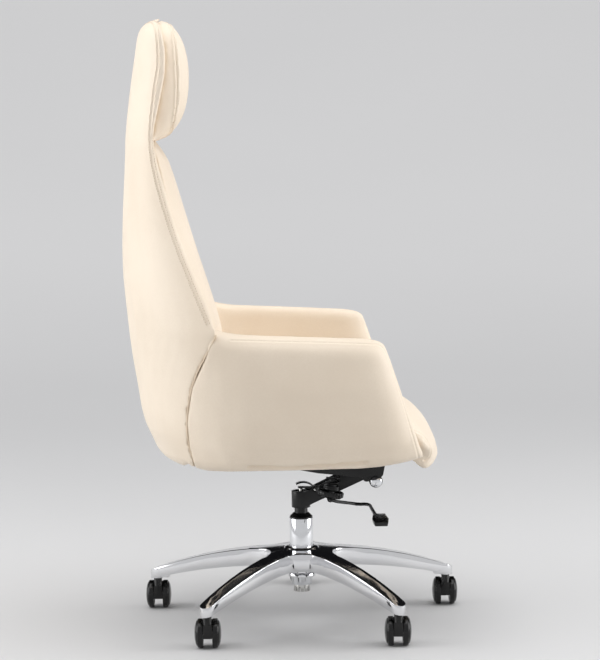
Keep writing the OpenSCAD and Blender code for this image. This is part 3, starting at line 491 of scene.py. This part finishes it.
JOINT_DIP = 0.0012
JOINT_REACH = 0.0045
SEAM_STEP = 0.002
SEAM_DEPTH = 0.0016
SEAM_WIDTH = 0.0018
SEAM_LIP = 0.35
LIP_PLACE = 2.4
LIP_SPREAD = 1.1
SEAM_TO_STITCH = 0.0042
STITCH_LIFT = 0.0001
STITCH_PITCH = 0.0056
STITCH_LENGTH = 0.0042
STITCH_THICK = 0.0013
CROWN_CENTRE = 1.185
RIDGE_FROM = 1.268


def leather(name, light, deep, grain_size):
    """Cream nappa: fine pebble grain, faint mottling and a soft sheen."""
    hide = Finish(name)
    spot = hide.place()
    mottle = hide.noise(spot, 5.0, 4.0)
    pores = hide.noise(spot, 240.0, 3.0)
    pebble = hide.cells(spot, grain_size)
    hide.feed(hide.shader, {
        "Base Color": hide.mix(hide.ramp(mottle * 0.8 + pores * 0.2, 0.35, 0.65), deep, light),
        "Roughness": hide.ramp(mottle * 0.6 + pebble * 0.4, 0.3, 0.8, 0.44, 0.58),
        "Specular IOR Level": 0.42,
        "Normal": hide.bump(pebble, 0.00035, 0.22),
    })
    return hide


padded_leather = leather("padded_leather", shade(241, 227, 208), shade(235, 220, 200), 620.0)
cushion_leather = leather("cushion_leather", shade(241, 227, 208), shade(235, 220, 200), 560.0)
# A darker copy of the cream leather: painted shade for the welt in the joint where arm meets
# shell.
joint_shade_leather = leather("joint_shade_leather", shade(232, 214, 190), shade(226, 207, 182), 560.0)
thread = leather("sewing_thread", shade(214, 196, 172), shade(202, 183, 158), 900.0)
lining = Finish("black_lining")
spot = lining.place()
weave = lining.cells(spot, 900.0)
fluff = lining.noise(spot, 40.0, 3.0)
lining.feed(lining.shader, {
    "Base Color": lining.mix(fluff, shade(16, 16, 17), shade(27, 26, 26)),
    "Roughness": lining.ramp(fluff, 0.3, 0.7, 0.8, 0.95),
    "Normal": lining.bump(weave, 0.0003, 0.4),
})


def points_of(piece):
    spots = np.empty(len(piece.data.vertices) * 3)
    piece.data.vertices.foreach_get("co", spots)
    return spots.reshape(-1, 3)


def move_to(piece, spots):
    piece.data.vertices.foreach_set("co", np.asarray(spots, dtype=np.float32).ravel())
    piece.data.update()


def skin_of(piece):
    form = bmesh.new()
    form.from_mesh(piece.data)
    skin = BVHTree.FromBMesh(form)
    form.free()
    return skin


def near(spots, path):
    """How far each point lies from the nearest point of a path."""
    tree = KDTree(len(path))
    for index, place in enumerate(path):
        tree.insert(place, index)
    tree.balance()
    return np.array([tree.find(spot)[2] for spot in spots])


def sharp_places(piece, wanted):
    """Points every few millimetres along the piece's sharp corners that are wanted."""
    form = bmesh.new()
    form.from_mesh(piece.data)
    places = []
    for edge in form.edges:
        if len(edge.link_faces) == 2 and edge.calc_face_angle(0) > SHARP:
            start, end = (corner.co for corner in edge.verts)
            steps = max(2, math.ceil((end - start).length / CRISP_GAP))
            places += [start.lerp(end, step / steps) for step in range(steps + 1)]
    form.free()
    return [place for place in places if wanted(place)]


def weighted(piece, name, weights):
    """A vertex group that follows the weights in even steps."""
    group = piece.vertex_groups.new(name=name)
    for level in range(1, WEIGHT_STEPS + 1):
        picked = np.nonzero(np.ceil(weights * WEIGHT_STEPS) == level)[0]
        group.add([int(index) for index in picked], level / WEIGHT_STEPS, "REPLACE")


def upholstered(node, wanted, slack, rounds=36, voxel=VOXEL, board=None):
    """The CAD form with its facets rubbed out, but crisp at the corners that are wanted.

    No point strays further than slack from the solid. A board inside is covered over.
    """
    piece = copy_of(node, node + "_leather")
    solid = skin_of(piece)
    places = sharp_places(piece, wanted)
    if board:
        core = copy_of(board, "board_core")
        modify(core, "DISPLACE", strength=BOARD_CLEAR, mid_level=0.0)
        alone(core)
        piece.select_set(True)
        bpy.context.view_layer.objects.active = piece
        bpy.ops.object.join()
    modify(piece, "REMESH", mode="VOXEL", voxel_size=voxel)
    spots = points_of(piece)
    gap = near(spots, places) if places else np.ones(len(spots))
    loose = np.clip((gap - CRISP_GAP) / CRISP_REACH, 0, 1)
    weighted(piece, "loose", loose)
    modify(piece, "SMOOTH", factor=0.5, iterations=rounds, vertex_group="loose")
    spots = points_of(piece)
    for index, spot in enumerate(spots):
        home = solid.find_nearest(Vector(spot))[0]
        stray = Vector(spot) - home
        off_hem = min(max((spot[2] - HEM_LEVEL) / HEM_FADE, 0.1), 1)
        held = CLOSEST + (slack - CLOSEST) * loose[index] * off_hem
        if stray.length > held:
            spots[index] = home + stray * (held / stray.length)
    move_to(piece, spots)
    modify(piece, "SMOOTH", factor=0.5, iterations=3, vertex_group="loose")
    piece.vertex_groups.clear()
    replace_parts(piece, node)
    return piece


def on_junction(place):
    """Whether a corner belongs to the line where an arm meets the shell."""
    return (JOINT_FOOT < place.z < JOINT_TOP and JOINT_REAR < place.x < JOINT_FORE
            and abs(place.y) > JOINT_SIDE)


def junction_line(node, hand):
    """The line in which the arm at one hand meets the shell, rid of its kinks."""
    piece = copy_of(node, "line_finder")
    places = sharp_places(piece, on_junction)
    bpy.data.objects.remove(piece)
    shelf = {}
    for place in places:
        level = round(place.z / JOINT_LEVEL)
        if hand * place.y > 0 and hand * place.y > hand * shelf.get(level, place).y - 1e-9:
            shelf[level] = place
    path = [shelf[level] for level in sorted(shelf)]
    return eased_path(evened(eased_path(path, 2), JOINT_STEP), JOINT_ROUNDS)


def along(stations, count):
    """A smooth run of points through the stations, evenly numbered."""
    stations = np.array(stations, dtype=float)
    at = np.linspace(0, len(stations) - 1, count)
    whole = np.minimum(at.astype(int), len(stations) - 2)
    part = (at - whole)[:, None]
    before = stations[np.maximum(whole - 1, 0)]
    start, end = stations[whole], stations[whole + 1]
    after = stations[np.minimum(whole + 2, len(stations) - 1)]
    return (start + part * (end - before) / 2
            + part ** 2 * (before - 2.5 * start + 2 * end - after / 2)
            + part ** 3 * (1.5 * (start - end) + (after - before) / 2))


def evened(path, step=SEAM_STEP):
    path = np.array(path, dtype=float)
    run = np.concatenate([[0], np.cumsum(np.linalg.norm(np.diff(path, axis=0), axis=1))])
    count = max(2, int(run[-1] / step))
    at = np.linspace(0, run[-1], count)
    return np.stack([np.interp(at, run, path[:, axis]) for axis in range(3)], axis=1)


def eased_path(path, rounds=6):
    path = np.array(path, dtype=float)
    for _ in range(rounds):
        path[1:-1] = path[1:-1] / 2 + (path[:-2] + path[2:]) / 4
    return path


def drawn_on(skin, path, side, lift):
    """The path laid on the skin, moved sideways over it and lifted off it."""
    path = np.array(path, dtype=float)
    tangents = np.gradient(path, axis=0)
    laid = []
    for place, tangent in zip(path, tangents):
        spot, normal = skin.find_nearest(Vector(place))[:2]
        beside = Vector(tangent).cross(normal).normalized() * side
        spot, normal = skin.find_nearest(spot + beside)[:2]
        laid.append(spot + normal * lift)
    return eased_path(laid, 2)


def crease(piece, path, depth, width):
    """A sewn seam: a narrow groove down the path between two slightly raised lips."""
    form = bmesh.new()
    form.from_mesh(piece.data)
    spots = points_of(piece)
    close = near(spots, path) < 5 * width
    form.verts.ensure_lookup_table()
    edges = [edge for edge in form.edges if all(close[corner.index] for corner in edge.verts)]
    bmesh.ops.subdivide_edges(form, edges=edges, cuts=1, use_grid_fill=True, smooth=0.0)
    bmesh.ops.triangulate(form, faces=[face for face in form.faces if len(face.verts) > 4])
    form.normal_update()
    form.to_mesh(piece.data)
    normals = np.array([corner.normal[:] for corner in form.verts])
    form.free()
    spots = points_of(piece)
    gap = near(spots, path) / width
    lip = SEAM_LIP * np.exp(-((gap - LIP_PLACE) / LIP_SPREAD) ** 2)
    sink = depth * (lip - np.exp(-gap ** 2))
    move_to(piece, spots + normals * sink[:, None])


def line_through(name, path):
    """A curve that runs straight from point to point of a path."""
    data = bpy.data.curves.new(name, "CURVE")
    data.dimensions = "3D"
    line = data.splines.new("POLY")
    line.points.add(len(path) - 1)
    line.points.foreach_set("co", np.column_stack([path, np.ones(len(path))]).ravel())
    curve = bpy.data.objects.new(name, data)
    scene.collection.objects.link(curve)
    return curve


def stitched(name, path):
    """A row of thread stitches laid end to end down a path."""
    bpy.ops.object.select_all(action="DESELECT")
    bpy.ops.mesh.primitive_uv_sphere_add(segments=6, ring_count=4, radius=0.5,
                                         location=(STITCH_LENGTH / 2, 0, 0))
    row = bpy.context.object
    row.name = name
    row.scale = (STITCH_LENGTH, STITCH_THICK, STITCH_THICK)
    bpy.ops.object.transform_apply(location=True, rotation=True, scale=True)
    rail = line_through("rail", path)
    modify(row, "ARRAY", fit_type="FIT_CURVE", curve=rail, use_relative_offset=False,
           use_constant_offset=True, constant_offset_displace=(STITCH_PITCH, 0, 0))
    modify(row, "CURVE", object=rail, deform_axis="POS_X")
    bpy.data.objects.remove(rail)
    alone(row)
    bpy.ops.object.shade_smooth()
    seat(row, "seat", thread)


def corded(name, path, thick, finish):
    """A thin round cord laid in a seam."""
    cord = line_through(name, path)
    cord.data.bevel_depth = thick / 2
    cord.data.bevel_resolution = 1
    cord.data.use_fill_caps = True
    alone(cord)
    bpy.ops.object.convert(target="MESH")
    cord = bpy.context.object
    bpy.ops.object.shade_smooth()
    seat(cord, "seat", finish)


def finished_pad(piece, finish):
    """Leather outside, black lining beneath, and the seat carries it."""
    alone(piece)
    bpy.ops.object.shade_smooth()
    seat(piece, "seat", finish)
    piece.data.materials.append(lining.material)
    under = [int(face.normal.z < LINING_FLAT and face.center.z < LINING_TOP)
             for face in piece.data.polygons]
    piece.data.polygons.foreach_set("material_index", under)
    piece.data.update()


def dipped(piece, path):
    """The leather dips a little toward the joint, where a welt is sewn in."""
    spots = points_of(piece)
    gap = near(spots, path)
    spots[:, 1] -= np.sign(spots[:, 1]) * JOINT_DIP * np.exp(-(gap / JOINT_REACH) ** 2)
    move_to(piece, spots)


def lowered_hem(piece):
    """The foam's lower edge is drawn down a little outside the pan."""
    spots = points_of(piece)
    near_hem = np.clip((HEM_TOP - spots[:, 2]) / HEM_RISE, 0, 1)
    out = np.maximum((np.abs(spots[:, 1]) - PAN_SIDE) / HEM_EDGE,
                     (PAN_REAR - spots[:, 0]) / HEM_EDGE)
    rear = np.clip((HEM_REAR - spots[:, 0]) / HEM_RUN, 0, 1)
    fore = np.clip((spots[:, 0] - HEM_FORE) / HEM_RUN, 0, 1)
    drop = HEM_DROP + (HEM_DROP_REAR - HEM_DROP) * rear + HEM_DROP_FORE * fore
    spots[:, 2] -= drop * near_hem ** 2 * np.clip(out, 0, 1)
    move_to(piece, spots)


junctions = {hand: junction_line("back_shell", hand) for hand in (-1, 1)}
both_junctions = np.concatenate([junctions[-1], junctions[1]])
shell = upholstered("back_shell", lambda place: place.z < SHELL_CRISP_TOP, SHELL_SLACK,
                    board="back_board")
lowered_hem(shell)
dipped(shell, both_junctions)
shell_skin = skin_of(shell)


def on_side(skin, x, z, hand):
    """Where a level line from far out at one side meets the skin."""
    return skin.ray_cast(Vector((x, hand * 0.6, z)), Vector((0, -hand, 0)))[0]


def inward(skin, x, away, centre_z):
    """Where a line from outside toward a centre line meets the skin, by angle from up."""
    heading = Vector((0, math.sin(away), math.cos(away)))
    return skin.ray_cast(Vector((x, 0, centre_z)) + heading * 0.5, -heading)[0]


rim = along([(-0.196, 0.672), (-0.221, 0.735), (-0.253, 0.817), (-0.284, 0.915), (-0.300, 0.985),
             (-0.305, 1.045), (-0.297, 1.120), (-0.286, 1.185)], 160)
crown = along([(-0.286, 90), (-0.287, 72), (-0.291, 55), (-0.300, 38), (-0.308, 22),
               (-0.312, 0)], 60)
side_part = {hand: [on_side(shell_skin, x, z, hand) for x, z in rim] for hand in (-1, 1)}
top_part = {hand: [inward(shell_skin, x, hand * math.radians(away), CROWN_CENTRE)
                   for x, away in crown]
            for hand in (-1, 1)}
shell_seam = side_part[-1] + top_part[-1] + top_part[1][::-1] + side_part[1][::-1]
shell_seam = eased_path(evened([place for place in shell_seam if place]), 12)
crease(shell, shell_seam, SEAM_DEPTH, SEAM_WIDTH)
weighted(shell, "ridge", points_of(shell)[:, 2] > RIDGE_FROM)
modify(shell, "SMOOTH", factor=0.5, iterations=24, vertex_group="ridge")
shell.vertex_groups.clear()
shell_skin = skin_of(shell)
for row_name, across in (("front", SEAM_TO_STITCH), ("rear", -SEAM_TO_STITCH)):
    row_path = drawn_on(shell_skin, shell_seam, across, STITCH_LIFT)
    stitched(f"shell_stitches_{row_name}", row_path)
finished_pad(shell, padded_leather)

# ---------------------------------------------------------------- The arms
# Each arm is a foam-covered board in leather, crowned outside, with a seam round its
# front and top. It is bolted to the pan and butted against the shell, with a welt between
# the two; the welt is a darker copy of the cream leather, painted shade for the joint.
CROWN_FALL = 0.0075
CROWN_REACH = 0.026
CROWN_INNER = 0.285
CROWN_BAND = 0.02
CROWN_REAR = -0.215
CROWN_RUN = 0.06
CROWN_MOST = 1.2
FRONT_SQUARE = 0.96
FRONT_FADE = 0.8
SLOT_TOP = 0.430
SLOT_CURVE_FROM = 0.385
SLOT_FOOT = 0.375
SLOT_FOOT_FALL = 0.020
SLOT_INNER = 0.283
SLOT_EASE_TOP = 0.408
ARM_SLACK = 0.0025
ARM_REAR = -0.14
ARM_FOOT = 0.40
ARM_TOP = 0.652
ARM_TOP_FALL = 0.05
ARM_TOP_FROM = -0.153
ARM_FRONT = 0.168
ARM_FRONT_LEAN = 0.29
ARM_FRONT_FROM = 0.632
ARM_SEAM_DEPTH = 0.0012
ARM_SEAM_WIDTH = 0.0016
SLOT_ENDS = (-0.150, 0.128)
HEM_ROUNDS = 12
SWEEP_START = -0.115
SWEEP_RUN = 0.08
SWEEP_DEPTH = 0.05
SWEEP_RISE = 0.015
SWEEP_LEAN = 0.45
WELT_THICK = 0.0032
WELT_DEPTH = 0.0012
WELT_STEP = 0.004


def arm_top_at(x):
    return ARM_TOP - ARM_TOP_FALL * (x - ARM_TOP_FROM)


def arm_front_at(z):
    return ARM_FRONT + ARM_FRONT_LEAN * (ARM_FRONT_FROM - z)


def rounded_hem(arm, hand):
    """The leather closes in one even curve under the board, as it does beside it."""
    skin = skin_of(arm)
    levels = np.linspace(SLOT_CURVE_FROM, SLOT_TOP, 12)
    beside = [[hand * on_side(skin, x, z, hand).y for z in levels] for x in SLOT_ENDS]
    fall = np.mean([np.array(row)[-1] - np.array(row) for row in beside], axis=0)
    levels = np.append(SLOT_FOOT, levels)
    fall = np.append(fall[0] + SLOT_FOOT_FALL, fall)
    along_x = np.linspace(SLOT_ENDS[0], SLOT_ENDS[1], 20)
    reach = [hand * on_side(skin, x, SLOT_TOP, hand).y for x in along_x]
    spots = points_of(arm)
    x, y, z = spots.T
    limit = np.interp(x, along_x, reach) - np.interp(z, levels, fall)
    over = (x > SLOT_ENDS[0]) & (x < SLOT_ENDS[1]) & (z < SLOT_TOP) & (hand * y > limit)
    spots[over, 1] = hand * limit[over]
    move_to(arm, spots)


for side, hand in (("right", -1), ("left", 1)):
    arm = upholstered(f"arm_{side}", lambda place: place.x < ARM_REAR or place.z < ARM_FOOT,
                      ARM_SLACK, board=f"arm_frame_{side}")
    rounded_hem(arm, hand)
    lowered_hem(arm)
    spots = points_of(arm)
    under = (hand * spots[:, 1] > SLOT_INNER) & (spots[:, 2] < SLOT_EASE_TOP)
    under &= (spots[:, 0] > SLOT_ENDS[0]) & (spots[:, 0] < SLOT_ENDS[1])
    weighted(arm, "hem", under)
    modify(arm, "SMOOTH", factor=0.5, iterations=HEM_ROUNDS, vertex_group="hem")
    arm.vertex_groups.clear()
    spots = points_of(arm)
    x, y, z = spots.T
    outer = np.clip((hand * y - CROWN_INNER) / CROWN_BAND, 0, 1)
    off_top = np.maximum(arm_top_at(x) - z, 0)
    off_front = np.maximum((arm_front_at(z) - x) * FRONT_SQUARE, 0)
    fall = np.exp(-off_top / CROWN_REACH) + np.exp(-off_front / CROWN_REACH * FRONT_FADE)
    behind = np.clip((x - CROWN_REAR) / CROWN_RUN, 0, 1)
    y -= hand * CROWN_FALL * outer * behind * np.minimum(fall, CROWN_MOST)
    rear = np.clip((SWEEP_START - x) / SWEEP_RUN, 0, 1)
    near_top = np.clip(1 - off_top / SWEEP_DEPTH, 0, 1)
    sweep = SWEEP_RISE * rear ** 2 * near_top
    z += sweep
    x -= sweep * SWEEP_LEAN
    move_to(arm, np.stack([x, y, z], axis=1))
    dipped(arm, junctions[hand])
    arm_skin = skin_of(arm)
    edge_line = along([(-0.150, 0.641), (-0.060, 0.6375), (0.040, 0.633), (0.120, 0.628),
                       (0.146, 0.6235), (0.158, 0.610), (0.168, 0.585), (0.181, 0.545),
                       (0.200, 0.480), (0.216, 0.425), (0.228, 0.382)], 220)
    hits = [on_side(arm_skin, seam_x, seam_z, hand) for seam_x, seam_z in edge_line]
    arm_seam = eased_path(evened([place for place in hits if place]), 8)
    crease(arm, arm_seam, ARM_SEAM_DEPTH, ARM_SEAM_WIDTH)
    bed = evened(junctions[hand], WELT_STEP) - np.array([0, hand * WELT_DEPTH, 0])
    # The welt takes the darker leather, which paints the shade along the joint.
    corded(f"joint_welt_{side}", bed, WELT_THICK, joint_shade_leather)
    finished_pad(arm, padded_leather)

# ---------------------------------------------------------------- The back cushion
# A deep foam pad in a leather cover, held in the shell at its sides and behind. The
# foam presses the cover out a little where nothing holds it.
SETTLE_FRAMES = 20
FOAM_PRESSURE = 9.0
COVER_CLOTH = {
    "quality": 4,
    "mass": 0.3,
    "tension_stiffness": 5,
    "compression_stiffness": 5,
    "shear_stiffness": 3,
    "bending_stiffness": 0.5,
    "use_pressure": True,
    "uniform_pressure_force": FOAM_PRESSURE,
    "vertex_group_mass": "held",
}


def plumped(piece, held, limit, shrink):
    """The cover blown out a little from a slightly smaller start, held where it is sewn."""
    solid = skin_of(piece)
    normals = np.array([corner.normal[:] for corner in piece.data.vertices])
    start = points_of(piece) - normals * (shrink * (1 - held))[:, None]
    move_to(piece, start)
    weighted(piece, "held", held)
    alone(piece)
    cover = piece.modifiers.new("cover", "CLOTH")
    for key, value in COVER_CLOTH.items():
        setattr(cover.settings, key, value)
    cover.settings.effector_weights.gravity = 0
    cover.collision_settings.use_collision = False
    cover.point_cache.frame_start = 1
    cover.point_cache.frame_end = SETTLE_FRAMES
    for frame_number in range(1, SETTLE_FRAMES + 1):
        scene.frame_set(frame_number)
    settled = piece.evaluated_get(bpy.context.evaluated_depsgraph_get()).data
    blown = np.array([corner.co[:] for corner in settled.vertices])
    piece.modifiers.remove(cover)
    piece.vertex_groups.clear()
    scene.frame_set(1)
    travel = blown - start
    far = np.linalg.norm(travel, axis=1)
    blown = start + travel * (np.minimum(far, limit) / np.maximum(far, 1e-9))[:, None]
    for index, spot in enumerate(blown):
        on_solid, normal = solid.find_nearest(Vector(spot))[:2]
        if (Vector(spot) - on_solid).dot(normal) > 0:
            blown[index] = on_solid
    move_to(piece, blown)
    modify(piece, "SMOOTH", factor=0.4, iterations=2)


def facing(piece, axis, low, high):
    """1 where the cover turns away from an axis, 0 where it faces along it."""
    normals = np.array([corner.normal[:] for corner in piece.data.vertices])
    return np.clip((high - normals[:, axis]) / (high - low), 0, 1)


BACK_PAD_FOOT = 0.40
back_pad = upholstered("back_cushion", lambda place: place.z < BACK_PAD_FOOT, 0.002, voxel=0.0065)
plumped(back_pad, facing(back_pad, axis=0, low=0.2, high=0.6), limit=0.012, shrink=0.002)
modify(back_pad, "SUBSURF", levels=1, subdivision_type="CATMULL_CLARK")
finished_pad(back_pad, cushion_leather)

# ---------------------------------------------------------------- The seat cushion
# A thick foam block with a waterfall front in a boxed leather cover. The boxing is
# sewn to the top panel in a seam that follows the rounded nose down at each side.
NOSE_DROP = 0.013
NOSE_FROM = 0.195
NOSE_RUN = 0.06
NOSE_TOP = 0.445
NOSE_DEPTH = 0.07
SEAT_FOOT = 0.38
SEAT_FOOT_END = 0.20
SEAT_SEAM = 0.0020
SEAT_SEAM_HOLD = 0.012
SEAT_REST_RUN = 0.1
seat_pad = upholstered("seat_cushion",
                       lambda place: place.z < SEAT_FOOT and place.x < SEAT_FOOT_END,
                       0.0015, voxel=0.0055)
spots = points_of(seat_pad)
fore = np.clip((spots[:, 0] - NOSE_FROM) / NOSE_RUN, 0, 1)
low_part = np.clip((NOSE_TOP - spots[:, 2]) / NOSE_DEPTH, 0, 1)
spots[:, 2] -= NOSE_DROP * fore * low_part
move_to(seat_pad, spots)
seat_skin = skin_of(seat_pad)
nose_line = along([(0.020, 0.452), (0.120, 0.451), (0.200, 0.446), (0.229, 0.438), (0.248, 0.420),
                   (0.258, 0.400), (0.260, 0.385), (0.256, 0.374), (0.246, 0.371)], 150)
seat_seams = []
for hand in (-1, 1):
    hits = [on_side(seat_skin, seam_x, seam_z, hand) for seam_x, seam_z in nose_line]
    seat_seams.append(eased_path(evened([place for place in hits if place]), 8))
spots = points_of(seat_pad)
sewn = np.clip(1 - near(spots, np.concatenate(seat_seams)) / SEAT_SEAM_HOLD, 0, 1)
flat_back = np.clip(-spots[:, 0] / SEAT_REST_RUN, 0, 1)
held_sides = facing(seat_pad, axis=2, low=-0.1, high=0.3)
plumped(seat_pad, np.maximum(np.maximum(sewn, flat_back), held_sides),
        limit=0.014, shrink=0.003)
modify(seat_pad, "SUBSURF", levels=1, subdivision_type="CATMULL_CLARK")
for seam in seat_seams:
    crease(seat_pad, seam, SEAT_SEAM, SEAT_SEAM)
finished_pad(seat_pad, cushion_leather)

# ---------------------------------------------------------------- The headrest
# A pillow of soft foam in a boxed leather cover, fixed to the top of the shell. The
# front panel is sewn to a flat boxing strip, with a row of stitches on each side.
PILLOW_CENTRE = 1.150
PILLOW_SEAM_HOLD = 0.008
PILLOW_SEAM_DEPTH = 0.0026
PILLOW_SEAM_WIDTH = 0.0022
PILLOW_TO_STITCH = 0.0045
head_pad = upholstered("headrest", lambda place: False, 0.002, voxel=0.0045)
head_skin = skin_of(head_pad)
boxing = along([(-0.283, 180), (-0.277, 166), (-0.268, 150), (-0.259, 132), (-0.250, 112),
                (-0.248, 90), (-0.249, 72), (-0.251, 55), (-0.256, 36), (-0.262, 18),
                (-0.266, 0)], 160)
loop = {hand: [inward(head_skin, seam_x, hand * math.radians(away), PILLOW_CENTRE)
               for seam_x, away in boxing]
        for hand in (-1, 1)}
pillow_seam = eased_path(evened([place for place in loop[-1] + loop[1][::-1] if place]), 10)
sewn = np.clip(1 - near(points_of(head_pad), pillow_seam) / PILLOW_SEAM_HOLD, 0, 1)
held_sides = facing(head_pad, axis=0, low=0.0, high=0.4)
plumped(head_pad, np.maximum(sewn, held_sides), limit=0.010, shrink=0.0025)
modify(head_pad, "SUBSURF", levels=1, subdivision_type="CATMULL_CLARK")
crease(head_pad, pillow_seam, PILLOW_SEAM_DEPTH, PILLOW_SEAM_WIDTH)
head_skin = skin_of(head_pad)
for row_name, across in (("front", PILLOW_TO_STITCH), ("rear", -PILLOW_TO_STITCH)):
    row_path = drawn_on(head_skin, pillow_seam, across, STITCH_LIFT)
    stitched(f"headrest_stitches_{row_name}", row_path)
finished_pad(head_pad, cushion_leather)
